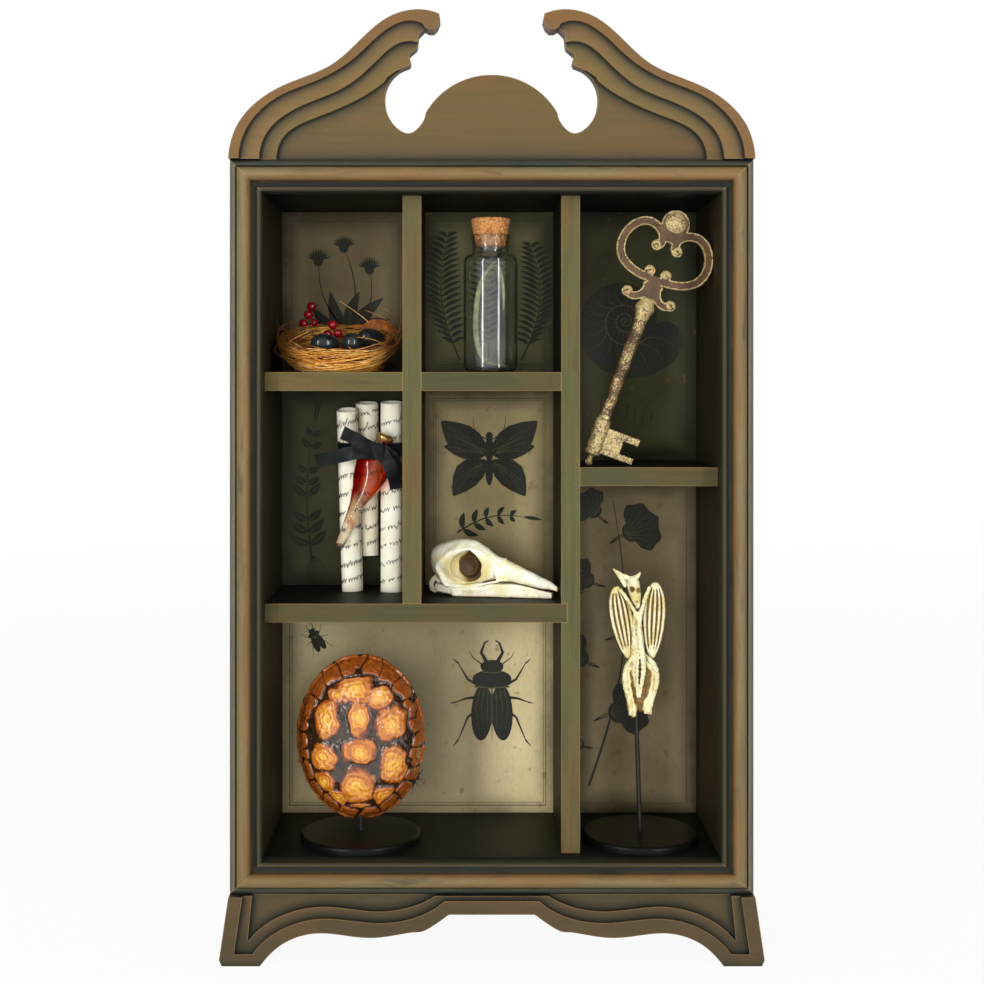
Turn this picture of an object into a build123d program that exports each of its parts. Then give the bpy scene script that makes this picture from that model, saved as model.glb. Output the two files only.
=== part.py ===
from build123d import *
from math import cos, radians, sin
import os

os.makedirs("parts", exist_ok=True)

# Curiosity cabinet, 25 in tall: an open case of seven cells behind a picture-frame moulding, with a
# swan-neck pediment of stacked layers and a bracket plinth, and the curios that stand in its cells.
# X is to the right, Y to the back and Z up, with the origin on the floor under the middle of the case.

# Driving dimensions in millimetres
total_height = 635.0
depth = 125.0
frame_width = 350.0
frame_bottom = 45.5
frame_top = 536.2
moulding_width = 21.3
moulding_height = 14.0
lip_height = 9.0
board_thickness = 12.7
panel_thickness = 4.2
rabbet_width = 6.0
card_thickness = 0.8
divider_setback = 8.8
layer_thickness = 3.4
pediment_board_thickness = 9.0
plinth_panel_thickness = 8.0
edge_softening = 0.6
rest_gap = 0.2

# Planes and walls that follow from them
front = -depth / 2
back = depth / 2
case_front = front + moulding_height
panel_front = back - panel_thickness
card_front = panel_front - card_thickness
divider_front = case_front + divider_setback
frame_half = frame_width / 2
window_half = frame_half - moulding_width
case_half = window_half + board_thickness
window_bottom = frame_bottom + moulding_width + 1.2
window_top = frame_top - moulding_width - 0.9
case_bottom = window_bottom - board_thickness
case_top = window_top + board_thickness

# Heights of the shelves and places of the dividers, taken to their lower or left faces
divider_left_x = -60.2
divider_right_x = 47.5
shelf_middle_z = 224.5
shelf_right_z = 317.0
shelf_upper_z = 381.6
dado_depth = 4.0


def save(piece, node):
    piece.part.label = node
    export_step(piece.part, f"parts/{node}.step")


def board(low, high):
    # A plain board between two opposite corners
    size = Vector(*high) - Vector(*low)
    with BuildPart() as piece:
        with Locations((Vector(*high) + Vector(*low)) / 2):
            Box(size.X, size.Y, size.Z)
    return piece


# Case: four boards, rabbeted along the back edge for the panel
with BuildPart() as case_side_left:
    with BuildSketch(Plane.XY.offset(case_bottom)):
        with BuildLine():
            Polyline(
                (-case_half, case_front),
                (-window_half, case_front),
                (-window_half, panel_front),
                (-window_half - rabbet_width, panel_front),
                (-window_half - rabbet_width, back),
                (-case_half, back),
                close=True,
            )
        make_face()
    extrude(amount=case_top - case_bottom)
save(case_side_left, "case_side_left")

with BuildPart() as case_side_right:
    mirror(case_side_left.part, about=Plane.YZ)
save(case_side_right, "case_side_right")


def case_end(inner, outer, node):
    # The top or bottom board between the sides; inner is the face towards the cells
    into_board = 1 if outer > inner else -1
    with BuildPart() as piece:
        with BuildSketch(Plane.YZ.offset(-window_half)):
            with BuildLine():
                Polyline(
                    (case_front, inner),
                    (panel_front, inner),
                    (panel_front, inner + into_board * rabbet_width),
                    (back, inner + into_board * rabbet_width),
                    (back, outer),
                    (case_front, outer),
                    close=True,
                )
            make_face()
        extrude(amount=2 * window_half)
    save(piece, node)


case_end(window_bottom, case_bottom, "case_bottom")
case_end(window_top, case_top, "case_top")

panel_half = window_half + rabbet_width - rest_gap
with BuildPart() as back_panel:
    with BuildSketch(Plane.XZ.offset(-back)):
        with Locations((0, (window_bottom + window_top) / 2)):
            Rectangle(2 * panel_half, window_top - window_bottom + 2 * (rabbet_width - rest_gap))
    extrude(amount=panel_thickness)
save(back_panel, "back_panel")

# Boards over and under the case, out to the frame's edge, that carry the pediment and the plinth
save(board((-frame_half, case_front, case_top), (frame_half, back, frame_top)), "top_cap")
save(board((-frame_half, case_front, frame_bottom), (frame_half, back, case_bottom)), "base_board")


# Face frame: four lengths of moulding, mitred at 45 degrees
def moulding_outline():
    # u runs from the outer edge to the window, h stands forward of the case
    with BuildLine() as outline:
        Line((0, 0), (0, 6.0))
        ThreePointArc((0, 6.0), (1.9, 8.4), (4.1, 8.0))
        Polyline((4.1, 8.0), (4.5, 7.4), (5.0, 9.8))
        ThreePointArc((5.0, 9.8), (9.6, moulding_height), (14.6, 9.6))
        ThreePointArc((14.6, 9.6), (15.6, 7.0), (17.9, 6.2))
        ThreePointArc((17.9, 6.2), (19.7, lip_height), (moulding_width, 7.6))
        Polyline((moulding_width, 7.6), (moulding_width, 0), (0, 0))
    return outline.line


def frame_member(centre, inward, half_length, node):
    # A straight length whose ends are cut to the mitre by a trapezium seen from the front
    forward = Vector(0, -1, 0)
    along = Vector(*inward).cross(forward)
    section = Plane(origin=centre, x_dir=inward, z_dir=along)
    front_view = Plane(origin=centre, x_dir=inward, z_dir=forward)
    inner = half_length - moulding_width
    with BuildPart() as piece:
        with BuildSketch(section):
            make_face(moulding_outline().edges())
        extrude(amount=half_length, both=True)
        with BuildSketch(front_view):
            with BuildLine():
                Polyline(
                    (0, -half_length),
                    (moulding_width, -inner),
                    (moulding_width, inner),
                    (0, half_length),
                    close=True,
                )
            make_face()
        extrude(amount=moulding_height, mode=Mode.INTERSECT)
    save(piece, node)


frame_middle = (frame_bottom + frame_top) / 2
frame_half_height = (frame_top - frame_bottom) / 2
left_edge = (-frame_half, case_front, frame_middle)
right_edge = (frame_half, case_front, frame_middle)
frame_member((0, case_front, frame_top), (0, 0, -1), frame_half, "frame_rail_top")
frame_member((0, case_front, frame_bottom), (0, 0, 1), frame_half, "frame_rail_bottom")
frame_member(left_edge, (1, 0, 0), frame_half_height, "frame_stile_left")
frame_member(right_edge, (-1, 0, 0), frame_half_height, "frame_stile_right")

# Interior: two dividers and four shelves; the middle shelf is let into the right divider
shelf_middle_top = shelf_middle_z + board_thickness
shelf_right_top = shelf_right_z + board_thickness
shelf_upper_top = shelf_upper_z + board_thickness
divider_left_right_face = divider_left_x + board_thickness
divider_right_right_face = divider_right_x + board_thickness

save(
    board((divider_left_x, divider_front, shelf_middle_top),
          (divider_left_right_face, panel_front, window_top)),
    "divider_left",
)

with BuildPart() as divider_right:
    with BuildSketch(Plane.XZ.offset(-panel_front)):
        with Locations((divider_right_x + board_thickness / 2, (window_bottom + window_top) / 2)):
            Rectangle(board_thickness, window_top - window_bottom)
        with Locations((divider_right_x + dado_depth / 2, shelf_middle_z + board_thickness / 2)):
            Rectangle(dado_depth, board_thickness, mode=Mode.SUBTRACT)
    extrude(amount=panel_front - divider_front)
save(divider_right, "divider_right")


def shelf(left, right, lower_face, node):
    save(board((left, divider_front, lower_face), (right, panel_front, lower_face + board_thickness)),
         node)


shelf(-window_half, divider_right_x + dado_depth, shelf_middle_z, "shelf_middle")
shelf(divider_right_right_face, window_half, shelf_right_z, "shelf_right")
shelf(-window_half, divider_left_x, shelf_upper_z, "shelf_upper_left")
shelf(divider_left_right_face, divider_right_x, shelf_upper_z, "shelf_upper_centre")

# Printed plates: a card lines the back of each cell
plates = {
    "plate_top_left": (-window_half, divider_left_x, shelf_upper_top, window_top),
    "plate_top_centre": (divider_left_right_face, divider_right_x, shelf_upper_top, window_top),
    "plate_top_right": (divider_right_right_face, window_half, shelf_right_top, window_top),
    "plate_middle_left": (-window_half, divider_left_x, shelf_middle_top, shelf_upper_z),
    "plate_middle_centre": (divider_left_right_face, divider_right_x, shelf_middle_top, shelf_upper_z),
    "plate_bottom_left": (-window_half, divider_right_x, window_bottom, shelf_middle_z),
    "plate_bottom_right": (divider_right_right_face, window_half, window_bottom, shelf_right_z),
}
for node, (left, right, lower, upper) in plates.items():
    save(board((left, card_front, lower), (right, panel_front, upper)), node)

# Pediment: the outer ogee up to the scroll's tip, three inner ogees, and the scallops in which the
# layers end at the scroll.
# All points are on the left half, as (x, z); the right half is their mirror image.
neck_outer = [(-frame_half, frame_top), (-173.6, 546.0), (-169.4, 557.6), (-155.3, 574.2),
              (-136.8, 585.2), (-106.2, 598.4), (-86.7, 615.4), (-67.3, 630.6), (-49.0, total_height),
              (-34.9, 632.0)]
neck_step_1 = [(-168.0, frame_top), (-161.8, 557.6), (-141.4, 577.1), (-117.3, 587.2),
               (-90.4, 603.2), (-70.1, 621.4), (-56.0, 627.4), (-45.5, 625.2)]
neck_step_2 = [(-154.6, frame_top), (-147.0, 557.0), (-124.7, 572.2), (-97.9, 583.7),
               (-75.6, 602.3), (-62.0, 612.9), (-51.0, 614.2)]
neck_step_3 = [(-143.6, frame_top), (-136.8, 553.4), (-113.6, 565.4), (-86.7, 577.6),
               (-71.2, 588.4)]
scallop_1 = [(-34.3, 628.9), (-36.0, 624.4), (-38.6, 621.9), (-42.0, 621.9), (-44.6, 623.4)]
scallop_2 = [(-46.6, 621.4), (-48.8, 619.1), (-49.3, 613.6)]
scallop_3 = [(-49.9, 610.8), (-55.2, 606.2), (-53.9, 601.2), (-54.9, 598.9)]
throat_top = (-58.0, 597.8)
throat_rim = [throat_top, (-64.0, 595.4), (-70.2, 590.8)]
throat = [throat_top, (-65.4, 592.9), (-70.6, 584.0), (-71.2, 572.5), (-65.4, 559.9), (-55.2, 554.3),
          (-48.3, 558.8), (-44.2, 567.8)]
arch_top = (0, 593.4)


def neck_layer(step, scallops, front_face, node):
    # A pair of ogee layers: outer contour, scroll tip, scallops and back along the layer's own step
    with BuildPart() as piece:
        with BuildSketch(Plane.XZ.offset(-front_face)):
            with BuildLine():
                Spline(*neck_outer)
                Polyline(neck_outer[-1], *scallops, step[-1])
                Spline(*step)
                Line(step[0], neck_outer[0])
            make_face()
        extrude(amount=-layer_thickness)
        front_rim = piece.faces().sort_by(Axis.Y)[0].edges()
        chamfer(front_rim.filter_by(GeomType.BSPLINE), edge_softening)
        mirror(about=Plane.YZ)
    save(piece, node)


neck_layer(neck_step_1, scallop_1, front, "pediment_layer_front")
neck_layer(neck_step_2, scallop_1 + scallop_2, front + layer_thickness, "pediment_layer_middle")
neck_layer(neck_step_3, scallop_1 + scallop_2 + scallop_3 + throat_rim, front + 2 * layer_thickness,
           "pediment_layer_back")

pediment_front = front + 3 * layer_thickness
pediment_back = pediment_front + pediment_board_thickness
with BuildPart() as pediment_board:
    with BuildSketch(Plane.XZ.offset(-pediment_front)):
        with BuildLine():
            Spline(*neck_outer)
            Polyline(neck_outer[-1], *scallop_1, *scallop_2, *scallop_3, throat_top)
            Spline(*throat)
            ThreePointArc(throat[-1], (-27.5, 585.4), arch_top)
            Polyline(arch_top, (0, frame_top), neck_outer[0])
        make_face()
        mirror(about=Plane.YZ)
    extrude(amount=-pediment_board_thickness)
save(pediment_board, "pediment_board")

# A cleat behind the pediment board, screwed down to the cap
cleat_width = 300.0
cleat_size = 14.0
with BuildPart() as pediment_cleat:
    with BuildSketch(Plane.YZ.offset(-cleat_width / 2)):
        with BuildLine():
            Polyline(
                (pediment_back, frame_top),
                (pediment_back + cleat_size, frame_top),
                (pediment_back + cleat_size, frame_top + 4),
                (pediment_back + 4, frame_top + cleat_size),
                (pediment_back, frame_top + cleat_size),
                close=True,
            )
        make_face()
    extrude(amount=cleat_width)
save(pediment_cleat, "pediment_cleat")

# Plinth: a cut-out front with two bands laid on it, brackets at the sides and a rail behind
foot_outer_top = (-174.9, frame_bottom)
foot_outer_bottom = (-181.0, 4.0)
foot_sole = (-179.2, 0)
apron = [(-153.9, 0), (-136.0, 16.3), (-117.5, 21.7), (-76.8, 18.9), (-52.2, 22.5),
         (-28.5, 34.2)]
apron_middle = (0, 34.2)
band_step = [(-158.8, 8.0), (-140.9, 23.7), (-113.8, 31.4), (-76.8, 28.6), (-48.5, 33.0),
             (-31.5, 43.1)]
band_foot = [(-165.6, frame_bottom), (-171.1, 7.8)]
panel_step = [(-162.5, 15.1), (-138.5, 33.0), (-111.3, 38.3), (-76.8, 35.1), (-52.0, 38.8),
              (-38.0, frame_bottom)]
panel_foot = (-159.5, frame_bottom)


def plinth_outline():
    with BuildLine() as outline:
        Polyline(foot_outer_top, foot_outer_bottom, foot_sole, apron[0])
        Spline(*apron, tangents=[(0.75, 1), (1, 0.75)])
        Polyline(apron[-1], apron_middle, (0, frame_bottom), foot_outer_top)
    return outline.line


with BuildPart() as plinth_panel:
    with BuildSketch(Plane.XZ.offset(-(front + 2 * layer_thickness))):
        make_face(plinth_outline().edges())
        mirror(about=Plane.YZ)
    extrude(amount=-plinth_panel_thickness)
save(plinth_panel, "plinth_panel")

with BuildPart() as plinth_band_inner:
    with BuildSketch(Plane.XZ.offset(-(front + layer_thickness))):
        make_face(plinth_outline().edges())
        with BuildLine():
            Spline(*panel_step)
            Polyline(panel_step[-1], panel_foot, panel_step[0])
        make_face(mode=Mode.SUBTRACT)
        mirror(about=Plane.YZ)
    extrude(amount=-layer_thickness)
save(plinth_band_inner, "plinth_band_inner")

with BuildPart() as plinth_band_outer:
    with BuildSketch(Plane.XZ.offset(-front)):
        make_face(plinth_outline().edges())
        with BuildLine():
            Spline(*band_step)
            Polyline(band_step[-1], (0, band_step[-1][1]), (0, frame_bottom + 1),
                     (band_foot[0][0], frame_bottom + 1), *band_foot, band_step[0])
        make_face(mode=Mode.SUBTRACT)
        mirror(about=Plane.YZ)
    extrude(amount=-layer_thickness)
save(plinth_band_outer, "plinth_band_outer")

plinth_panel_back = front + 2 * layer_thickness + plinth_panel_thickness
bracket_thickness = 10.0
side_arch = [(-28.0, 0), (-16.0, 14.0), (4.0, 20.5)]
side_arch_middle = 12.0
with BuildPart() as plinth_side_left:
    with BuildSketch(Plane.XZ.offset(-plinth_panel_back)):
        with BuildLine():
            Polyline(
                foot_outer_top,
                foot_outer_bottom,
                foot_sole,
                (foot_sole[0] + bracket_thickness, 0),
                (foot_outer_top[0] + bracket_thickness, frame_bottom),
                close=True,
            )
        make_face()
    extrude(amount=-(back - plinth_panel_back))
    with BuildSketch(Plane.YZ.offset(-frame_half)):
        with BuildLine():
            Spline(*side_arch, tangents=[(0.6, 1), (1, 0.1)])
            Polyline(side_arch[-1], (side_arch_middle, 20.5), (side_arch_middle, 0), side_arch[0])
        make_face()
        mirror(about=Plane((side_arch_middle, 0, 0), z_dir=(1, 0, 0)))
    extrude(amount=3 * bracket_thickness, both=True, mode=Mode.SUBTRACT)
save(plinth_side_left, "plinth_side_left")

with BuildPart() as plinth_side_right:
    mirror(plinth_side_left.part, about=Plane.YZ)
save(plinth_side_right, "plinth_side_right")

rail_half = -foot_outer_top[0] - bracket_thickness
rail_bottom = 24.0
save(
    board((-rail_half, back - bracket_thickness, rail_bottom), (rail_half, back, frame_bottom)),
    "plinth_back_rail",
)

block_leg = 22.0
block_height = 20.0
with BuildPart() as plinth_glue_blocks:
    with BuildSketch(Plane.XY.offset(frame_bottom - block_height)):
        with BuildLine():
            Polyline(
                (-rail_half, plinth_panel_back),
                (-rail_half + block_leg, plinth_panel_back),
                (-rail_half, plinth_panel_back + block_leg),
                close=True,
            )
        make_face()
        mirror(about=Plane.YZ)
    extrude(amount=block_height)
save(plinth_glue_blocks, "plinth_glue_blocks")

# Nest: a shallow bowl, tipped forward, flat where it stands on the shelf
nest_x = (divider_left_x - window_half) / 2
nest_y = 4.0
nest_tilt = radians(11.0)
nest_radius = 43.0
nest_up = Vector(0, -sin(nest_tilt), cos(nest_tilt))
nest_foot = (nest_x, nest_y, shelf_upper_top)
with BuildPart() as nest:
    with BuildSketch(Plane(nest_foot, x_dir=(1, 0, 0), z_dir=Vector(1, 0, 0).cross(nest_up))):
        with BuildLine():
            Line((0, -4.0), (22.0, -4.0))
            ThreePointArc((22.0, -4.0), (34.5, 9.0), (nest_radius, 23.0))
            ThreePointArc((nest_radius, 23.0), (40.5, 26.0), (36.5, 23.5))
            ThreePointArc((36.5, 23.5), (28.0, 13.5), (14.0, 8.6))
            Polyline((14.0, 8.6), (0, 8.6), (0, -4.0))
        make_face()
    revolve(axis=Axis(nest_foot, nest_up))
    split(bisect_by=Plane.XY.offset(shelf_upper_top + rest_gap), keep=Keep.TOP)
save(nest, "nest")

# Three eggs in the bowl: (x, y, height over the shelf, turn about Z)
egg_half_length = 10.5
egg_radius = 7.4
egg_places = [(-9.0, -8.0, 20.0, 12), (11.0, -16.0, 20.4, 80), (22.5, 1.0, 24.0, 30)]
with BuildPart() as nest_eggs:
    for x, y, rise, turn in egg_places:
        long_axis = Vector(cos(radians(turn)), sin(radians(turn)), 0)
        egg_middle = Vector(nest_x + x, nest_y + y, shelf_upper_top + rise)
        with BuildSketch(Plane(egg_middle, x_dir=long_axis, z_dir=(0, 0, 1))):
            with BuildLine():
                EllipticalCenterArc((0, 0), egg_half_length, egg_radius, start_angle=0, arc_size=180)
                Line((-egg_half_length, 0), (egg_half_length, 0))
            make_face()
        revolve(axis=Axis(egg_middle, long_axis))
save(nest_eggs, "nest_eggs")

# Berries in two clusters at the back of the nest: (x, y, height over the shelf)
berry_radius = 3.4
berry_places = [(-28.0, 26.0, 35.8), (-20.8, 28.0, 36.4), (-24.4, 24.5, 42.2), (-22.5, 28.0, 48.4),
                (-9.0, 9.0, 27.4), (-1.8, 10.5, 28.2), (-5.4, 8.5, 34.2)]
with BuildPart() as nest_berries:
    with Locations([(nest_x + x, nest_y + y, shelf_upper_top + rise) for x, y, rise in berry_places]):
        Sphere(berry_radius)
save(nest_berries, "nest_berries")

# Vial: blown glass with a tapered mouth for its cork
vial_y = -7.5
vial_floor = shelf_upper_top + rest_gap
vial_radius = 19.0
vial_wall = 1.6
shoulder_height = 78.0
lip_top = 95.4
mouth_depth = 7.0
mouth_radius = 11.75
cork_height = 18.9
cork_top_radius = 14.2
cork_taper = 0.2116
cork_clearance = 0.05
mouth_bottom_radius = mouth_radius - cork_taper * mouth_depth
vial_section = Plane((0, vial_y, vial_floor), x_dir=(1, 0, 0), z_dir=(0, -1, 0))
vial_axis = Axis((0, vial_y, vial_floor), (0, 0, 1))
with BuildPart() as vial_glass:
    with BuildSketch(vial_section):
        with BuildLine():
            Line((0, 0), (vial_radius - 2, 0))
            RadiusArc((vial_radius - 2, 0), (vial_radius, 2), -2)
            Line((vial_radius, 2), (vial_radius, shoulder_height))
            ThreePointArc((vial_radius, shoulder_height), (17.4, 82.2), (13.4, 85.0))
            Polyline((13.4, 85.0), (13.0, 87.0), (13.0, lip_top - 4.0), (13.9, lip_top - 3.2),
                     (13.9, lip_top), (mouth_radius, lip_top),
                     (mouth_bottom_radius, lip_top - mouth_depth), (mouth_bottom_radius, 86.6))
            ThreePointArc((mouth_bottom_radius, 86.6), (15.9, 81.2),
                          (vial_radius - vial_wall, shoulder_height - 1))
            Polyline((vial_radius - vial_wall, shoulder_height - 1), (vial_radius - vial_wall, 3.2),
                     (0, 3.2), (0, 0))
        make_face()
    revolve(axis=vial_axis)
save(vial_glass, "vial_glass")

with BuildPart() as cork:
    with BuildSketch(vial_section):
        with BuildLine():
            Polyline(
                (0, lip_top - mouth_depth),
                (mouth_bottom_radius - cork_clearance, lip_top - mouth_depth),
                (cork_top_radius, lip_top - mouth_depth + cork_height),
                (0, lip_top - mouth_depth + cork_height),
                close=True,
            )
        make_face()
    revolve(axis=vial_axis)
    chamfer(cork.edges().group_by(Axis.Z)[-1], 0.8)
save(cork, "cork")

# Feather: a curled vane on a quill that stands on the vial's floor and leans on its wall
with BuildPart() as feather:
    with BuildSketch(vial_section):
        with BuildLine():
            Spline((-5.0, 4.0), (-9.5, 30.0), (-6.0, 58.0), (4.0, 74.0))
            Spline((4.0, 74.0), (8.5, 52.0), (4.0, 24.0), (-3.6, 4.0))
            Line((-3.6, 4.0), (-5.0, 4.0))
        make_face()
    extrude(amount=0.6, both=True)
save(feather, "feather")

# Key: one casting that stands on its tip and leans on the right wall.
# In its own plane, v runs across the shaft and u up along it from the tip.
key_tip = Vector(67.54, -19.5, shelf_right_top + rest_gap + 2.8)
key_lean = radians(20.2)
key_across = Vector(cos(key_lean), 0, -sin(key_lean))
key_along = Vector(sin(key_lean), 0, cos(key_lean))
key_plane = Plane(key_tip, x_dir=key_across, z_dir=(0, -1, 0))
bow_bar = 5.8
bow_thickness = 5.0
bit_thickness = 4.0
cap_middle = 174.5
cap_radius = 9.7
with BuildPart() as key:
    with BuildSketch(key_plane):
        with BuildLine():
            ThreePointArc((0, -2.8), (2.8, 0), (1.8, 2.2))
            Polyline((1.8, 2.2), (1.8, 4.6), (5.6, 6.0), (5.6, 30.6), (3.9, 31.6), (4.7, 106.5),
                     (6.9, 113.0), (4.4, 119.5), (0, 119.5), (0, -2.8))
        make_face()
    revolve(axis=Axis(key_tip, key_along))
    # Bit with its square notch
    with BuildSketch(key_plane.offset(-bit_thickness / 2)):
        with Locations((16.0, 17.1)):
            Rectangle(25.0, 18.4)
        with Locations((24.0, 16.8)):
            Rectangle(12.0, 9.0, mode=Mode.SUBTRACT)
    extrude(amount=bit_thickness)
    # Bow: a loop and a curl on each side of the throat, volutes and the cap
    with BuildSketch(key_plane.offset(-bow_thickness / 2)):
        with BuildLine():
            Spline((5.8, 157.0), (6.4, 165.6), (18.0, 170.6), (30.4, 158.0), (28.2, 142.5),
                   (16.0, 135.2), (3.0, 134.2))
        trace(line_width=bow_bar)
        with BuildLine():
            Spline((5.0, 131.0), (4.6, 124.0), (9.0, 119.0), (15.0, 119.4))
        trace(line_width=5.4)
        with Locations((15.8, 120.2), (7.4, 157.0), (5.9, 138.6)):
            Circle(3.7)
        mirror(about=Plane.YZ)
        with Locations((0, 127.0)):
            Rectangle(9.5, 18.0)
        with Locations((0, 166.0)):
            Rectangle(13.0, 10.0)
        with Locations((0, cap_middle)):
            Circle(cap_radius)
    extrude(amount=bow_thickness)
save(key, "key")

# Paper scrolls: three rolled tubes, tied; the middle one hangs in the ribbon behind the others
scroll_y = 22.5
scroll_wall = 1.5


def scroll(bottom, top, radius, node):
    axis_line = Vector(*top) - Vector(*bottom)
    with BuildPart() as piece:
        with BuildSketch(Plane(bottom, x_dir=(1, 0, 0), z_dir=axis_line)):
            Circle(radius)
            Circle(radius - scroll_wall, mode=Mode.SUBTRACT)
        extrude(amount=axis_line.length)
    save(piece, node)


scroll_foot = shelf_middle_top + rest_gap
scroll_left_radius = 7.8
scroll_radius = 8.5
scroll_right_x = -70.6
scroll_middle_x = -89.4
scroll_middle_y = scroll_y + 13.0
scroll((-99.0, scroll_y, scroll_foot + 0.3), (-103.0, scroll_y, 369.6), scroll_left_radius,
       "scroll_left")
scroll((scroll_middle_x, scroll_middle_y, 262.0), (scroll_middle_x, scroll_middle_y, 373.7),
       scroll_radius, "scroll_middle")
scroll((scroll_right_x, scroll_y, scroll_foot), (scroll_right_x, scroll_y, 374.4), scroll_radius,
       "scroll_right")

# Ribbon: a band pulled round the three tubes and the neck of the horn, its knot and three tails
ribbon_width = 10.0
ribbon_thickness = 0.8
ribbon_z = 339.0
ribbon_gap = 0.35
knot_height = 4.0
tail_width = 8.0
tied_left_x = -102.0
knot = (-78.7, ribbon_z)
ribbon_tails = [[(-92.0, 347.0), (-106.3, 352.5)], [(-101.0, 339.5), (-122.0, 331.0)],
                [(-68.0, 330.0), (-65.5, 311.0)]]
horn_y = 5.5
horn_neck_edges = [(-88.0, horn_y), (-76.0, horn_y)]
horn_neck_radius = 6.0
ribbon_front = horn_y - horn_neck_radius - ribbon_thickness
with BuildPart() as ribbon:
    with BuildSketch(Plane.XY.offset(ribbon_z - ribbon_width / 2)):
        with BuildSketch(mode=Mode.PRIVATE) as tied_tubes:
            with Locations((tied_left_x, scroll_y)):
                Circle(scroll_left_radius + ribbon_gap + ribbon_thickness)
            with Locations((scroll_right_x, scroll_y), (scroll_middle_x, scroll_middle_y)):
                Circle(scroll_radius + ribbon_gap + ribbon_thickness)
            with Locations(horn_neck_edges):
                Circle(horn_neck_radius + ribbon_thickness)
        make_hull(tied_tubes.edges())
        offset(amount=-ribbon_thickness, mode=Mode.SUBTRACT)
    extrude(amount=ribbon_width)
    with BuildSketch(Plane.XZ.offset(-ribbon_front - ribbon_thickness)):
        with Locations(knot):
            RectangleRounded(12.0, 11.0, 3.0)
    extrude(amount=ribbon_thickness + knot_height)
    with BuildSketch(Plane.XZ.offset(-ribbon_front + ribbon_gap)):
        for tail in ribbon_tails:
            with BuildLine():
                Spline(knot, *tail)
            trace(line_width=tail_width)
    extrude(amount=ribbon_thickness)
save(ribbon, "ribbon")

# Glass horn, mouth down, its neck caught under the ribbon.
# Each section is (share of the way down, shift to the right, half width, half depth).
horn_top = Vector(-80.3, horn_y, 341.0)
horn_tip = Vector(-107.2, horn_y, 271.8)
horn_axis = (horn_tip - horn_top).normalized()
horn_right = Vector(-horn_axis.Z, 0, horn_axis.X)
horn_length = (horn_tip - horn_top).length
horn_sections = [(-0.05, 2.4, 3.4, 2.6), (0, 2.0, 6.6, 3.8), (0.1, 1.0, 11.6, 5.2), (0.26, 3.4, 13.3, 7.6),
                 (0.42, 3.0, 9.6, 7.0), (0.58, 1.5, 5.5, 5.0), (0.76, 1.2, 4.3, 4.2),
                 (1.0, 0.4, 3.4, 3.4)]
with BuildPart() as glass_horn:
    for share, shift, half_width, half_depth in horn_sections:
        middle = horn_top + horn_axis * (share * horn_length) + horn_right * shift
        with BuildSketch(Plane(middle, x_dir=(0, 1, 0), z_dir=horn_axis)):
            Ellipse(half_depth, half_width)
    loft()
save(glass_horn, "glass_horn")

bead_middle = horn_top - horn_axis * 8.2 + horn_right * 2.4
with BuildPart() as gilt_bead:
    with BuildSketch(Plane(bead_middle, x_dir=horn_axis, z_dir=(0, -1, 0))):
        with BuildLine():
            Polyline((-3.8, 0), (-3.8, 2.4))
            ThreePointArc((-3.8, 2.4), (-1.4, 6.6), (2.8, 4.8))
            Polyline((2.8, 4.8), (2.8, 3.0), (4.2, 3.0), (4.2, 0), (-3.8, 0))
        make_face()
    revolve(axis=Axis(bead_middle, horn_axis))
save(gilt_bead, "gilt_bead")

# Bird skull: lofts along its own axis, from the back of the head to the tip of the bill.
# Each section is (distance, middle height, half width, half height).
skull_back = Vector(-42.6, 12.0, shelf_middle_top + rest_gap)
skull_turn = radians(-18.4)
skull_forward = Vector(cos(skull_turn), sin(skull_turn), 0)
skull_side = Vector(-sin(skull_turn), cos(skull_turn), 0)
braincase = [(1.0, 25.0, 2.5, 2.5), (5.0, 24.0, 10.0, 10.5), (14.0, 22.0, 13.6, 15.6),
             (28.0, 21.8, 14.0, 17.6), (41.0, 21.8, 9.8, 13.0), (57.0, 18.8, 6.6, 9.0)]
bill = [(50.0, 18.2, 7.6, 8.2), (60.0, 17.2, 6.6, 7.2), (72.0, 13.6, 5.0, 5.6), (84.0, 10.0, 3.4, 3.8),
        (94.0, 6.4, 1.6, 1.7)]


def skull_plane(distance, height):
    middle = skull_back + skull_forward * distance + Vector(0, 0, height)
    return Plane(middle, x_dir=skull_side, z_dir=skull_forward)


with BuildPart() as skull_cranium:
    for sections in (braincase, bill):
        for distance, height, half_width, half_height in sections:
            with BuildSketch(skull_plane(distance, height)):
                Ellipse(half_width, half_height)
        loft()
    for side in (-1, 1):
        socket = skull_back + skull_forward * 30.0 + skull_side * (side * 13.2) + Vector(0, 0, 21.0)
        with Locations(socket):
            Sphere(10.8, mode=Mode.SUBTRACT)
save(skull_cranium, "skull_cranium")

mandible_side = [(10, 0), (10, 5.2), (30, 6.0), (46, 8.2), (64, 8.2), (94, 3.6), (94, 0)]
with BuildPart() as skull_mandible:
    with BuildSketch(Plane(skull_back, x_dir=skull_forward, z_dir=(0, 0, 1))):
        with BuildLine():
            Polyline((20.0, 10.8), (58.0, 5.2), (90.0, 1.0))
        trace(line_width=2.8)
        mirror(about=Plane.XZ)
    extrude(amount=10.0)
    with BuildSketch(Plane(skull_back, x_dir=skull_forward, z_dir=-skull_side)):
        with BuildLine():
            Polyline(*mandible_side, close=True)
        make_face()
    extrude(amount=20.0, both=True, mode=Mode.INTERSECT)
save(skull_mandible, "skull_mandible")

# Stands: a turned disc with a slim post
disc_thickness = 5.0
post_radius = 1.5
stand_y = -5.5
stand_floor = window_bottom + rest_gap


def stand_disc(middle_x, radius, node):
    with BuildPart() as piece:
        with BuildSketch(Plane((middle_x, stand_y, stand_floor))):
            Circle(radius)
        extrude(amount=disc_thickness)
        fillet(piece.edges().group_by(Axis.Z)[-1], 2.0)
    save(piece, node)


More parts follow.
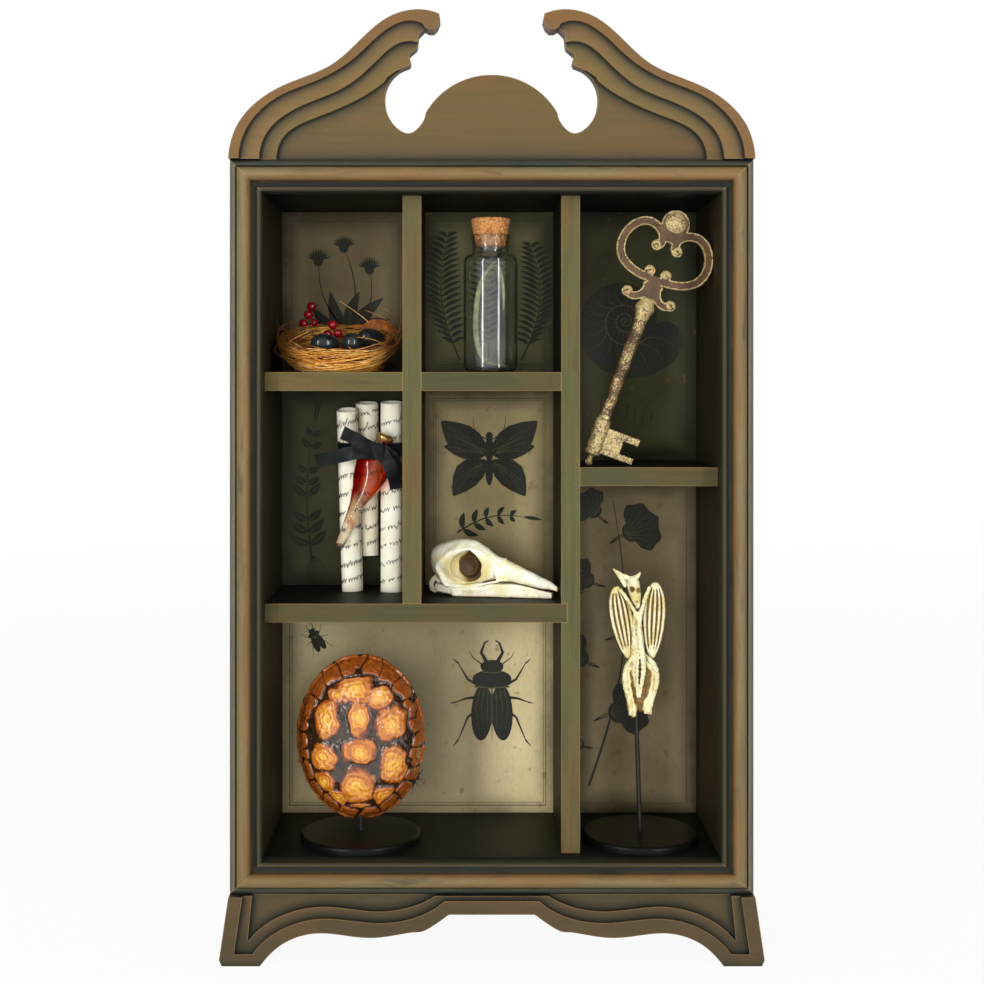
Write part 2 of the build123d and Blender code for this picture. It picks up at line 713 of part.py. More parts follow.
def stand_post(foot_x, top_x, top_z, node):
    foot = Vector(foot_x, stand_y, stand_floor + disc_thickness)
    rise = Vector(top_x, stand_y, top_z) - foot
    with BuildPart() as piece:
        with BuildSketch(Plane(foot, x_dir=(0, 1, 0), z_dir=rise)):
            Circle(post_radius)
        extrude(amount=rise.length)
    save(piece, node)
    return piece


shell_x = -90.8
shell_bottom = 82.0
shell_top = 197.0
shell_half_width = 44.8
stand_disc(shell_x, 42.0, "shell_disc")
stand_post(shell_x, shell_x, 150.0, "shell_post")

# Tortoise shell: a domed carapace with a marginal rim, and the flat plastron that closes its back
shell_middle = (shell_bottom + shell_top) / 2
shell_half_height = (shell_top - shell_bottom) / 2
rim_back = stand_y + post_radius
dome_sections = [(3.0, 0.965), (12.0, 0.9), (21.0, 0.74), (27.0, 0.5), (30.0, 0.2)]
with BuildPart() as carapace:
    with BuildSketch(Plane.XZ.offset(-rim_back)):
        with Locations((shell_x, shell_middle)):
            Ellipse(shell_half_width, shell_half_height)
    extrude(amount=3.0)
    for forward, share in dome_sections:
        with BuildSketch(Plane.XZ.offset(-rim_back + forward)):
            with Locations((shell_x, shell_middle)):
                Ellipse(shell_half_width * share, shell_half_height * share)
    loft()
    for forward, share in ((-1.0, 0.87), (11.0, 0.78), (20.0, 0.58), (25.0, 0.3)):
        with BuildSketch(Plane.XZ.offset(-rim_back + forward)):
            with Locations((shell_x, shell_middle)):
                Ellipse(shell_half_width * share, shell_half_height * share)
    loft(mode=Mode.SUBTRACT)
    with BuildSketch(Plane.XZ.offset(-rim_back)):
        with Locations((shell_x, shell_bottom)):
            Rectangle(4 * post_radius, 22.0)
    extrude(amount=2 * post_radius + 1.0, mode=Mode.SUBTRACT)
save(carapace, "carapace")

plastron_thickness = 5.0
with BuildPart() as plastron:
    with BuildSketch(Plane.XZ.offset(-rim_back)):
        with Locations((shell_x, shell_middle)):
            Ellipse(shell_half_width * 0.62, shell_half_height * 0.9)
            Rectangle(shell_half_width * 1.84, shell_half_height * 0.62)
        with Locations((shell_x, shell_bottom + 4.0)):
            Circle(8.0, mode=Mode.SUBTRACT)
    extrude(amount=-plastron_thickness)
    fillet(plastron.faces().sort_by(Axis.Y)[-1].edges(), 2.0)
save(plastron, "plastron")

# Bat skeleton: folded wings either side of the trunk, head between them, legs drawn together below
bat_x = 102.0
bat_foot_x = 104.8
bat_bottom = 153.5
stand_disc(bat_foot_x, 40.5, "bat_disc")
bat_post = stand_post(bat_foot_x, bat_x, bat_bottom + 6.0, "bat_post")


def spindle(start, end, sections):
    # A part lofted between two points; a section is (share of the way, half width, half depth)
    way = Vector(*end) - Vector(*start)
    with BuildPart() as piece:
        for share, half_width, half_depth in sections:
            with BuildSketch(Plane(Vector(*start) + way * share, x_dir=(0, 1, 0), z_dir=way)):
                Ellipse(half_depth, half_width)
        loft()
    return piece.part


wing_sections = [(0, 1.0, 1.0), (0.05, 2.8, 2.2), (0.25, 5.8, 3.6), (0.6, 7.4, 4.6), (0.85, 6.2, 3.8),
                 (0.97, 3.4, 2.4), (1, 1.4, 1.2)]
bat_y = stand_y - 3.0
with BuildPart() as bat_wings:
    add(spindle((96.5, bat_y, 195.0), (87.6, bat_y, 244.6), wing_sections))
    add(spindle((112.6, bat_y, 195.0), (115.2, bat_y, 247.4), wing_sections))
save(bat_wings, "bat_wings")

trunk_sections = [(0, 1.6, 2.0), (0.3, 4.4, 4.2), (0.62, 5.0, 4.8), (0.85, 3.4, 3.4), (1, 2.0, 2.2)]
leg_sections = [(0, 1.6, 1.6), (0.12, 3.2, 2.6), (0.5, 2.2, 2.0), (1, 2.8, 2.4)]
with BuildPart() as bat_body:
    add(spindle((103.0, bat_y, 168.0), (101.6, bat_y, 232.0), trunk_sections))
    add(spindle((100.2, bat_y, bat_bottom), (93.8, bat_y, 184.0), leg_sections))
    add(spindle((107.6, bat_y, bat_bottom + 3.0), (115.6, bat_y, 184.6), leg_sections))
    add(spindle((93.8, bat_y, 183.0), (103.5, bat_y, 197.0), [(0, 2.4, 2.2), (1, 3.0, 2.6)]))
    add(spindle((115.6, bat_y, 183.6), (104.5, bat_y, 199.0), [(0, 2.4, 2.2), (1, 3.0, 2.6)]))
    add(bat_wings.part, mode=Mode.SUBTRACT)
    add(bat_post.part, mode=Mode.SUBTRACT)
save(bat_body, "bat_body")

head_sections = [(0, 1.6, 1.8), (0.2, 3.2, 3.4), (0.6, 4.2, 4.8), (0.85, 3.8, 4.4), (1, 2.0, 2.4)]
with BuildPart() as bat_head:
    add(spindle((101.8, bat_y - 5.4, 232.6), (98.6, bat_y - 3.0, 252.4), head_sections))
    add(spindle((95.6, bat_y - 2.6, 246.0), (85.6, bat_y - 2.6, 257.6), [(0, 3.0, 1.6), (1, 0.6, 0.5)]))
save(bat_head, "bat_head")
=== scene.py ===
import math
import random
import bmesh
import bpy
from mathutils import Matrix, Vector, noise


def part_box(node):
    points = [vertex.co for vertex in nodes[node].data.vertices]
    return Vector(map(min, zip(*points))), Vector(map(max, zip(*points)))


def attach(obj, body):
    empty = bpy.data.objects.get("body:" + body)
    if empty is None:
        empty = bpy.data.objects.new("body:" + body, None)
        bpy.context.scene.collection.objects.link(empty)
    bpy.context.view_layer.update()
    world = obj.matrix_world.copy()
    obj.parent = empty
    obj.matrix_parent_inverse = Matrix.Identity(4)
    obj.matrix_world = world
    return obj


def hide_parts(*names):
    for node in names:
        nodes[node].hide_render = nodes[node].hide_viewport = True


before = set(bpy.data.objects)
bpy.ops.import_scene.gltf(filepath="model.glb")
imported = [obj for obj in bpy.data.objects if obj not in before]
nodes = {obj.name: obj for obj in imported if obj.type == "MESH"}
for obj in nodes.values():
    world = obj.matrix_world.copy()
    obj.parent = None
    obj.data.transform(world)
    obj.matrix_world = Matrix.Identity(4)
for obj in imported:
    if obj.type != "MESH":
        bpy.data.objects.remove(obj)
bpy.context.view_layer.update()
mm = 0.001
print("cabinet: frame loaded with", len(nodes), "nodes")


# ---- Materials: one small builder, then a finish for each kind of surface ----
def tone(red, green, blue):
    # An sRGB colour out of 255, as Blender's linear values
    shares = [part / 255 for part in (red, green, blue)]
    return tuple(s / 12.92 if s <= 0.04045 else ((s + 0.055) / 1.055) ** 2.4 for s in shares) + (1.0,)


class Finish:
    def __init__(self, name, roughness=0.6):
        self.material = bpy.data.materials.new(name)
        self.material.use_nodes = True
        self.tree = self.material.node_tree
        self.shader = self.tree.nodes["Principled BSDF"]
        self.shader.inputs["Roughness"].default_value = roughness
        self.point = self.make("TexCoord").outputs["Object"]

    def make(self, kind, **settings):
        made = self.tree.nodes.new("ShaderNode" + kind)
        for name, value in settings.items():
            setattr(made, name, value)
        return made

    def join(self, source, socket):
        if isinstance(source, bpy.types.NodeSocket):
            self.tree.links.new(source, socket)
        else:
            socket.default_value = source

    def set(self, **sockets):
        for name, value in sockets.items():
            self.join(value, self.shader.inputs[name.replace("_", " ")])

    def sum(self, operation, first, second=0.0, clamp=False):
        made = self.make("Math", operation=operation, use_clamp=clamp)
        self.join(first, made.inputs[0])
        self.join(second, made.inputs[1])
        return made.outputs[0]

    def sway(self, source, depth):
        # That source about zero, as a small change to add to something else
        return self.sum("MULTIPLY", self.sum("SUBTRACT", source, 0.5), depth)

    def stored(self, name):
        # A share that is stored on the mesh, vertex by vertex
        return self.make("Attribute", attribute_name=name).outputs["Fac"]

    def moved(self, scale=(1, 1, 1)):
        made = self.make("Mapping")
        self.join(self.point, made.inputs["Vector"])
        made.inputs["Scale"].default_value = scale
        return made.outputs[0]

    def cloud(self, stretch, detail=4.0, roughness=0.55, distortion=0.0):
        # Noise on object coordinates; stretch is how many features there are in a metre, all ways or each way
        made = self.make("TexNoise")
        each = stretch if isinstance(stretch, (tuple, list)) else (stretch,) * 3
        self.join(self.moved(each), made.inputs["Vector"])
        for name, value in (("Scale", 1.0), ("Detail", detail), ("Roughness", roughness),
                            ("Distortion", distortion)):
            made.inputs[name].default_value = value
        return made.outputs[0]

    def ramp(self, factor, *stops):
        # Stops are (position, grey share) or (position, sRGB colour out of 255)
        made = self.make("ValToRGB")
        elements = made.color_ramp.elements
        while len(elements) < len(stops):
            elements.new(0.5)
        for element, (position, colour) in zip(elements, stops):
            element.position = position
        for element, (position, colour) in zip(elements, stops):
            element.color = tone(*colour) if isinstance(colour, tuple) else (colour, colour, colour, 1.0)
        self.join(factor, made.inputs[0])
        return made.outputs[0]

    def mix(self, factor, first, second, blend="MIX"):
        made = self.make("Mix", data_type="RGBA", blend_type=blend)
        for socket, source in ((0, factor), (6, first), (7, second)):
            self.join(source, made.inputs[socket])
        return made.outputs[2]

    def axes(self):
        made = self.make("SeparateXYZ")
        self.join(self.point, made.inputs[0])
        return made.outputs

    def open(self, reach):
        # 1 on open surface, less in a corner or a groove within that reach
        made = self.make("AmbientOcclusion", samples=8)
        made.inputs["Distance"].default_value = reach
        return made.outputs["AO"]

    def edge(self, radius):
        # How far the rounded normal leaves the true one: about 0 on flats, more on edges
        rounded = self.make("Bevel", samples=6)
        rounded.inputs["Radius"].default_value = radius
        turned = self.make("VectorMath", operation="DOT_PRODUCT")
        self.join(rounded.outputs[0], turned.inputs[0])
        self.join(self.make("NewGeometry").outputs["Normal"], turned.inputs[1])
        return self.sum("SUBTRACT", 1.0, turned.outputs["Value"], clamp=True)

    def bump(self, height, distance, strength=1.0):
        made = self.make("Bump")
        self.join(height, made.inputs["Height"])
        made.inputs["Distance"].default_value = distance
        made.inputs["Strength"].default_value = strength
        self.set(Normal=made.outputs[0])


# The dark tone is for dark wax and painted shade in corners and grooves; the wider of the two reaches sets
# how far the painted shade at the foot of a step spreads
wood = {
    "dark": tone(30, 34, 29), "wax": tone(52, 50, 37), "copper": tone(122, 87, 47), "tan": tone(150, 118, 74),
    "streakAcross": 300, "streakAlong": 16, "blushAcross": 30, "blushAlong": 12,
    "creviceReach": 0.009, "stepShadeReach": 0.028, "edgeRadius": 0.0011,
}


def rubWood(finish, along, base, rub, rubShare=0.5, crevice=0.62, streak=0.4, stepShadeAndMetalMottle=None):
    # Thin paint brushed along the board, rubbed through on edges, with dark wax and painted shade in the
    # corners, and when a colour is given, painted shade at the foot of each step
    stretch = [wood["streakAcross"]] * 3
    blush = [wood["blushAcross"]] * 3
    stretch["XYZ".index(along)] = wood["streakAlong"]
    blush["XYZ".index(along)] = wood["blushAlong"]
    streaks = finish.cloud(stretch, detail=4.0, roughness=0.6, distortion=0.4)
    patches = finish.cloud(blush, detail=3.0, distortion=0.6)
    blended = finish.mix(finish.ramp(patches, (0.42, 0.0), (0.66, rubShare)), base, rub)
    streaked = finish.mix(finish.ramp(streaks, (0.34, 0.0), (0.46, 0.6), (0.62, 1.0)), wood["wax"], blended)
    coat = finish.mix(streak, blended, streaked)
    flecks = finish.cloud(900, detail=2.0)
    coat = finish.mix(finish.ramp(flecks, (0.3, 0.3), (0.42, 0.0)), coat, wood["wax"])
    hidden = finish.open(wood["creviceReach"])
    waver = finish.sway(patches, 0.16)
    if stepShadeAndMetalMottle:  # Painted shade: a broad brown-green darkening at the foot of a step, found by ambient occlusion, darkest against it
        wide = finish.sum("ADD", finish.open(wood["stepShadeReach"]), finish.sum("MULTIPLY", waver, 0.25))
        coat = finish.mix(finish.ramp(wide, (0.8, 0.85), (0.9, 0.55), (0.975, 0.0)), coat, tone(*stepShadeAndMetalMottle))
    # Dark wax and painted shade: where ambient occlusion finds a corner or a groove, the coat darkens to the
    # dark tone
    wavered = finish.sum("ADD", hidden, waver)
    coat = finish.mix(finish.ramp(wavered, (crevice - 0.2, 1.0), (crevice + 0.24, 0.0)), coat, wood["dark"])
    rim = finish.sum("MULTIPLY", finish.edge(wood["edgeRadius"]), 4.0, clamp=True)
    openRim = finish.sum("MULTIPLY", rim, finish.ramp(hidden, (0.6, 0.0), (0.85, 0.75)))
    coat = finish.mix(openRim, coat, wood["tan"])
    dull = finish.ramp(streaks, (0.3, 0.62), (0.7, 0.5))
    finish.set(Base_Color=coat, Roughness=dull, Specular_IOR_Level=0.3)
    finish.bump(finish.sum("ADD", streaks, finish.sum("MULTIPLY", flecks, 0.3)), 0.0002, 0.3 + streak * 0.5)
    return coat


# The last argument, when given, is the colour of the painted shade at the foot of each step
def plainWood(name, along, base, rub, rubShare=0.5, crevice=0.62, streak=0.4, stepShadeAndMetalMottle=None):
    finish = Finish(name)
    rubWood(finish, along, tone(*base), tone(*rub), rubShare, crevice, streak, stepShadeAndMetalMottle)
    return finish.material


moulding = {"halfFrame": 0.175, "top": 0.5362, "bottom": 0.0455, "width": 0.0213}


def mouldedWood(name, along, bands):
    # The frame's colours follow its moulding, by the distance in from the outer edge in mm
    finish = Finish(name)
    x, _, z = finish.axes()
    side = finish.sum("SUBTRACT", moulding["halfFrame"], finish.sum("ABSOLUTE", x))
    ends = finish.sum("MINIMUM", finish.sum("SUBTRACT", moulding["top"], z),
                      finish.sum("SUBTRACT", z, moulding["bottom"]))
    inward = finish.sum("MINIMUM", side, ends)
    waver = finish.cloud(45, detail=4.0)
    inward = finish.sum("ADD", inward, finish.sway(waver, 0.0016))
    share = finish.sum("DIVIDE", inward, moulding["width"])
    base = finish.ramp(share, *[(reach * mm / moulding["width"], colour) for reach, colour in bands])
    smudge = [150, 150, 150]
    smudge["XYZ".index(along)] = 26
    smudges = finish.cloud(smudge, detail=4.0, roughness=0.62, distortion=0.7)
    crest = finish.ramp(share, (0.24, 0.0), (0.3, 1.0), (0.64, 1.0), (0.7, 0.0))
    rub = finish.mix(crest, base, wood["copper"])
    worn = finish.mix(finish.sum("MULTIPLY", crest, finish.ramp(smudges, (0.3, 0.75), (0.43, 0.0))), base,
                      tone(62, 58, 42))
    rubWood(finish, along, worn, rub, 0.6, 0.46, 0.3)
    return finish.material


def cellWood(name, along, base, rub):
    # Dividers and shelves: olive on the front edge, nearly black inside the cells, a dark inside paint made
    # darker as painted shade of the deep cells
    finish = Finish(name)
    facing = finish.make("SeparateXYZ")
    finish.join(finish.make("NewGeometry").outputs["Normal"], facing.inputs[0])
    toFront = finish.ramp(finish.sum("MULTIPLY", facing.outputs[1], -1.0), (0.35, 0.0), (0.6, 1.0))
    # Painted shade: this near-black tone stands for the shade deep in the cells
    inside = tone(13, 14, 10)
    edge, worn = [finish.mix(toFront, inside, tone(*colour)) for colour in (base, rub)]
    rubWood(finish, along, edge, worn, 0.7, 0.3, 0.34)
    finish.set(Specular_IOR_Level=0.12)
    return finish.material


def sideWood():
    # The case sides: olive outside, nearly black where they line the cells, as painted shade of the deep
    # cells
    finish = Finish("caseSides")
    outward = finish.sum("MULTIPLY", finish.sum("ABSOLUTE", finish.axes()[0]), 4.0)
    outward = finish.ramp(outward, (0.6152, 0.0), (0.6168, 1.0))  # It turns at 154 mm from the middle
    coat = rubWood(finish, "Z", finish.mix(outward, tone(9, 10, 7), tone(84, 75, 52)),
                   finish.mix(outward, tone(13, 13, 10), tone(112, 84, 54)), 0.5, 0.4)
    # Painted shade: the lining is darkened further toward black
    lining = finish.mix(0.6, coat, tone(5, 6, 4))
    finish.set(Base_Color=finish.mix(outward, lining, coat), Specular_IOR_Level=0.12)
    return finish.material


def darkWood(name, base=(12, 13, 9)):
    finish = Finish(name, 0.5)
    patches = finish.cloud((40, 40, 12), detail=4.0)
    finish.set(Base_Color=finish.mix(finish.ramp(patches, (0.35, 0.0), (0.7, 1.0)), tone(*base),
                                     tone(*[part + 7 for part in base])), Specular_IOR_Level=0.15)
    finish.bump(finish.cloud((500, 500, 30)), 0.0002, 0.5)
    return finish.material


def hardboard():
    finish = Finish("hardboard", 0.75)
    fibres = finish.cloud(500, detail=5.0, roughness=0.7)
    finish.set(Base_Color=finish.ramp(fibres, (0.3, (92, 66, 44)), (0.7, (124, 94, 66))))
    finish.bump(fibres, 0.0003, 0.6)
    return finish.material


def agedCard(name, node, base, shade, shadow=None):
    # Old print paper: mottled, foxed, and browner toward its edges; shadow has stops from left to right
    low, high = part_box(node)
    finish = Finish(name, 0.72)
    x, _, z = finish.axes()
    sides = finish.sum("MINIMUM", finish.sum("SUBTRACT", x, low.x), finish.sum("SUBTRACT", high.x, x))
    ends = finish.sum("MINIMUM", finish.sum("SUBTRACT", z, low.z), finish.sum("SUBTRACT", high.z, z))
    edge = finish.sum("MINIMUM", sides, ends)
    mottle = finish.cloud(22, detail=5.0, roughness=0.6)
    edge = finish.sum("ADD", edge, finish.sway(mottle, 0.03))
    paper = finish.mix(finish.ramp(mottle, (0.35, 0.0), (0.7, 1.0)), tone(*base), tone(*shade))
    if shadow:
        place = finish.sum("ADD", finish.sum("MULTIPLY", x, 5.0), 0.7)
        paper = finish.mix(1.0, paper, finish.ramp(place, *shadow), "MULTIPLY")
    browned = finish.mix(finish.ramp(edge, (0.0, 1.0), (0.016, 0.0)), paper, tone(*[p * 0.62 for p in shade]))
    spots = finish.cloud(150, detail=2.0, roughness=0.4)
    foxed = finish.mix(finish.ramp(spots, (0.68, 0.0), (0.76, 0.55)), browned, tone(110, 78, 44))
    fibres = finish.cloud((1400, 1400, 300), detail=3.0)
    finish.set(Base_Color=finish.mix(finish.ramp(fibres, (0.3, 0.12), (0.6, 0.0)), foxed, tone(60, 50, 34)))
    finish.bump(fibres, 0.00006, 0.5)
    return finish.material


def ink():
    finish = Finish("printInk", 0.62)
    worn = finish.cloud(420, detail=5.0, roughness=0.7)
    finish.set(Base_Color=finish.ramp(worn, (0.25, (58, 58, 44)), (0.45, (34, 35, 27)), (0.8, (22, 23, 18))))
    return finish.material


def straw():
    finish = Finish("straw", 0.5)
    strand = finish.make("NewGeometry").outputs["Random Per Island"]
    colour = finish.ramp(strand, (0.0, (150, 84, 24)), (0.3, (206, 134, 42)), (0.6, (236, 174, 72)),
                         (0.86, (250, 214, 130)), (1.0, (116, 52, 20)))
    # Painted shade: the straw turns darker brown toward both sides of the nest
    nestMiddle = -0.105  # Darker toward both sides of the nest
    aside = finish.sum("ABSOLUTE", finish.sum("SUBTRACT", finish.axes()[0], nestMiddle))
    colour = finish.mix(finish.ramp(finish.sum("MULTIPLY", aside, 20.0), (0.4, 0.0), (0.72, 0.84)), colour,
                        tone(84, 44, 18))
    fibres = finish.cloud(700, detail=3.0)
    frayed = finish.ramp(fibres, (0.35, 0.5), (0.55, 0.0))
    finish.set(Base_Color=finish.mix(frayed, colour, tone(120, 64, 20)))
    finish.bump(fibres, 0.0001, 0.6)
    return finish.material


def shine(name, stops, stretch, roughness, coat=0.0, bumpDepth=0.00015, detail=4.0, gloss=0.5):
    # A mottled finish from one noise, with an optional clear coat
    finish = Finish(name, roughness)
    mottle = finish.cloud(stretch, detail=detail, roughness=0.6)
    finish.set(Base_Color=finish.ramp(mottle, *stops))
    finish.set(Coat_Weight=coat, Coat_Roughness=0.08, Specular_IOR_Level=gloss)
    finish.bump(mottle, bumpDepth, 0.7)
    return finish.material


def clearGlass():
    finish = Finish("clearGlass", 0.02)
    finish.set(Base_Color=(0.97, 0.985, 0.975, 1), Transmission_Weight=1.0, IOR=1.05, Coat_Weight=1.0,
               Coat_Roughness=0.02)
    ripple = finish.cloud((60, 60, 18), detail=2.0)
    finish.bump(ripple, 0.0006, 0.35)
    return finish.material


def corkGrain():
    finish = Finish("cork", 0.8)
    grains = finish.make("TexVoronoi")
    finish.join(finish.moved((520, 520, 620)), grains.inputs["Vector"])
    grains.inputs["Scale"].default_value = 1.0
    pits = finish.cloud(360, detail=4.0, roughness=0.7)
    body = finish.ramp(grains.outputs["Distance"], (0.1, (206, 150, 92)), (0.6, (176, 118, 62)),
                       (0.95, (128, 74, 36)))
    finish.set(Base_Color=finish.mix(finish.ramp(pits, (0.3, 0.9), (0.42, 0.0)), body, tone(92, 48, 22)))
    finish.bump(finish.sum("SUBTRACT", pits, grains.outputs["Distance"]), 0.0005, 0.8)
    return finish.material


def antiqueMetal():
    # Dark cast metal with gold rubbed over what stands proud, which is stored on the mesh
    finish = Finish("antiqueBrass", 0.42)
    lumps = finish.cloud(750, detail=5.0, roughness=0.7)
    stepShadeAndMetalMottle = finish.cloud(90, detail=4.0)
    stored = finish.stored("proud")
    hidden = finish.open(0.003)
    gilt = finish.sum("ADD", finish.sum("MULTIPLY", stored, 0.8), finish.sum("MULTIPLY", lumps, 0.9))
    gilt = finish.sum("ADD", gilt, finish.sway(stepShadeAndMetalMottle, 0.5))
    gilt = finish.ramp(gilt, (0.86, 0.0), (1.12, 0.8))
    gilt = finish.sum("MULTIPLY", gilt, finish.ramp(hidden, (0.4, 0.3), (0.8, 1.0)))
    brown = finish.ramp(stepShadeAndMetalMottle, (0.35, (58, 42, 22)), (0.65, (96, 66, 38)))
    gold = finish.ramp(lumps, (0.35, (168, 142, 86)), (0.6, (226, 206, 150)))
    finish.set(Base_Color=finish.mix(gilt, brown, gold), Metallic=finish.sum("MULTIPLY", gilt, 0.5),
               Roughness=finish.ramp(lumps, (0.3, 0.5), (0.7, 0.3)))
    finish.bump(lumps, 0.0006, 0.8)
    return finish.material


def boneFinish(name, pale, yellow, brown, reach, hollowShadeFrom, hollowShadeTo, hollow=False):
    finish = Finish(name, 0.5)
    clouds = finish.cloud(70, detail=3.0, distortion=0.5)
    pores = finish.cloud(800, detail=3.0)
    colour = finish.mix(finish.ramp(clouds, (0.46, 0.0), (0.62, 0.8)), tone(*pale), tone(*yellow))
    # Painted shade: brown where ambient occlusion finds a hollow
    hidden = finish.open(reach)
    hidden = finish.sum("ADD", hidden, finish.sway(clouds, 0.22))
    colour = finish.mix(finish.ramp(hidden, (hollowShadeFrom, 1.0), ((hollowShadeFrom + hollowShadeTo) / 2, 0.62), (hollowShadeTo, 0.0)),
                        colour, tone(*brown))
    if hollow:  # The eye socket is stored on the mesh: yellowed at its rim, and dark brown inside as painted shade of the hollow
        depth = finish.stored("hollow")
        depth = finish.sum("ADD", depth, finish.sway(clouds, 0.12))
        rimStainAndShade = finish.ramp(depth, (0.1, yellow), (0.34, (204, 184, 112)), (0.55, (140, 108, 44)),
                            (0.75, (98, 70, 22)), (1.0, (62, 42, 10)))
        colour = finish.mix(finish.ramp(depth, (0.05, 0.0), (0.3, 0.75), (0.5, 1.0)), colour, rimStainAndShade)
    finish.set(Base_Color=finish.mix(finish.ramp(pores, (0.3, 0.35), (0.42, 0.0)), colour, tone(*brown)),
               Subsurface_Weight=0.06, Subsurface_Scale=0.002)
    finish.bump(pores, 0.00025, 0.7)
    return finish.material


def paperFinish():
    finish = Finish("scrollPaper", 0.75)
    mottle = finish.cloud(60, detail=4.0)
    fibres = finish.cloud(900, detail=3.0)
    colour = finish.ramp(mottle, (0.35, (250, 248, 230)), (0.7, (238, 232, 204)))
    # Painted shade: the paper is darker where ambient occlusion finds it hidden, inside the rolls and where
    # they touch
    finish.set(Base_Color=finish.mix(finish.sum("SUBTRACT", 1.0, finish.open(0.006), clamp=True), colour,
                                     tone(150, 140, 108)))
    finish.bump(fibres, 0.00006, 0.5)
    return finish.material


def satinFinish():
    finish = Finish("blackSatin", 0.34)
    weave = finish.make("TexWave", wave_type="BANDS", bands_direction="DIAGONAL")
    finish.join(finish.moved(), weave.inputs["Vector"])
    weave.inputs["Scale"].default_value = 900
    weave.inputs["Distortion"].default_value = 1.5
    finish.set(Base_Color=finish.ramp(weave.outputs[1], (0.2, (14, 15, 16)), (0.8, (30, 32, 34))),
               Sheen_Weight=0.4, Sheen_Roughness=0.35, Anisotropic=0.5)
    finish.bump(weave.outputs[1], 0.00006, 0.6)
    return finish.material


def hornGlass(top, axis, length):
    # Blown glass: red on the left, clear in the middle, orange on the right, streaky toward the mouth
    finish = Finish("redGlass", 0.04)
    offset = finish.make("VectorMath", operation="SUBTRACT")
    finish.join(finish.point, offset.inputs[0])
    offset.inputs[1].default_value = top
    reaches = []
    for way in (axis, (-axis.z, 0, axis.x)):
        made = finish.make("VectorMath", operation="DOT_PRODUCT")
        finish.join(offset.outputs[0], made.inputs[0])
        made.inputs[1].default_value = way
        reaches.append(made.outputs["Value"])
    down = finish.sum("DIVIDE", reaches[0], length)
    flame = finish.cloud((150, 150, 36), detail=3.0, distortion=1.2)
    swirl = finish.cloud((60, 60, 30), detail=2.0, distortion=0.8)
    side = finish.sum("ADD", finish.sum("DIVIDE", reaches[1], 0.026), finish.sum("MULTIPLY", swirl, 0.3))
    side = finish.sum("ADD", side, 0.3)
    colour = finish.ramp(side, (0.0, (132, 0, 0)), (0.3, (196, 8, 0)), (0.42, (224, 62, 26)),
                         (0.52, (244, 150, 110)), (0.66, (240, 110, 60)), (0.78, (230, 78, 14)),
                         (1.0, (188, 48, 6)))
    below = finish.ramp(flame, (0.42, (252, 244, 224)), (0.58, (246, 190, 120)), (0.66, (214, 70, 20)))
    slant = finish.sum("ADD", down, finish.sway(flame, 0.35))
    below = finish.mix(finish.ramp(side, (0.32, 0.9), (0.38, 0.0)), below, tone(150, 18, 8))
    mixed = finish.mix(finish.ramp(slant, (0.44, 0.0), (0.56, 1.0)), colour, below)
    finish.set(Base_Color=mixed, Transmission_Weight=0.9, IOR=1.12, Coat_Weight=1.0,
               Coat_Roughness=0.03)
    finish.bump(swirl, 0.0008, 0.4)
    return finish.material


def scuteFinish(name):
    # Amber scutes with dark seams: the pattern is stored on the mesh as it is carved
    finish = Finish(name, 0.26)
    amber = finish.stored("amber")
    ring = finish.stored("ring")
    grain = finish.cloud(110, detail=5.0, roughness=0.62, distortion=1.4)
    fibres = finish.cloud((420, 420, 170), detail=3.0, distortion=0.6)
    swirl = finish.sum("ADD", finish.sum("MULTIPLY", ring, 3.2), finish.sum("MULTIPLY", grain, 2.2))
    bands = finish.sum("SINE", finish.sum("MULTIPLY", swirl, 6.283))
    depth = finish.sum("ADD", finish.sum("MULTIPLY", bands, 0.07), finish.sum("MULTIPLY", ring, 0.42))
    depth = finish.sum("ADD", depth, finish.sum("MULTIPLY", grain, 0.55))
    depth = finish.sum("ADD", depth, finish.sway(fibres, 0.3))
    warm = finish.ramp(depth, (0.16, (84, 34, 12)), (0.3, (142, 70, 24)), (0.46, (180, 102, 30)),
                       (0.64, (214, 146, 46)), (0.88, (238, 188, 80)))
    edge = finish.sum("ADD", amber, finish.sway(grain, 0.6))
    dark = finish.ramp(grain, (0.35, (30, 17, 8)), (0.7, (66, 38, 18)))
    finish.set(Base_Color=finish.mix(finish.ramp(edge, (0.2, 0.0), (0.5, 1.0)), dark, warm),
               Coat_Weight=1.0, Coat_Roughness=0.12)
    relief = finish.sum("ADD", grain, fibres)
    finish.bump(finish.sum("ADD", finish.sum("MULTIPLY", bands, 0.1), relief), 0.0006, 0.7)
    return finish.material


print("cabinet: finishes defined")


# ---- Mesh helpers: pieces are modelled in mm and scaled to metres when they are done ----
def addPiece(name, lump, material, body, replaced=(), sharp=40, outward=True):
    if outward:
        bmesh.ops.recalc_face_normals(lump, faces=lump.faces)
    bmesh.ops.scale(lump, vec=(mm, mm, mm), verts=lump.verts)
    mesh = bpy.data.meshes.new(name)
    lump.to_mesh(mesh)
    lump.free()
    for face in mesh.polygons:
        face.use_smooth = True
    mesh.set_sharp_from_angle(angle=math.radians(sharp))
    mesh.materials.append(material)
    piece = bpy.data.objects.new(name, mesh)
    bpy.context.scene.collection.objects.link(piece)
    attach(piece, body)
    if replaced:
        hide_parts(*replaced)
    return piece


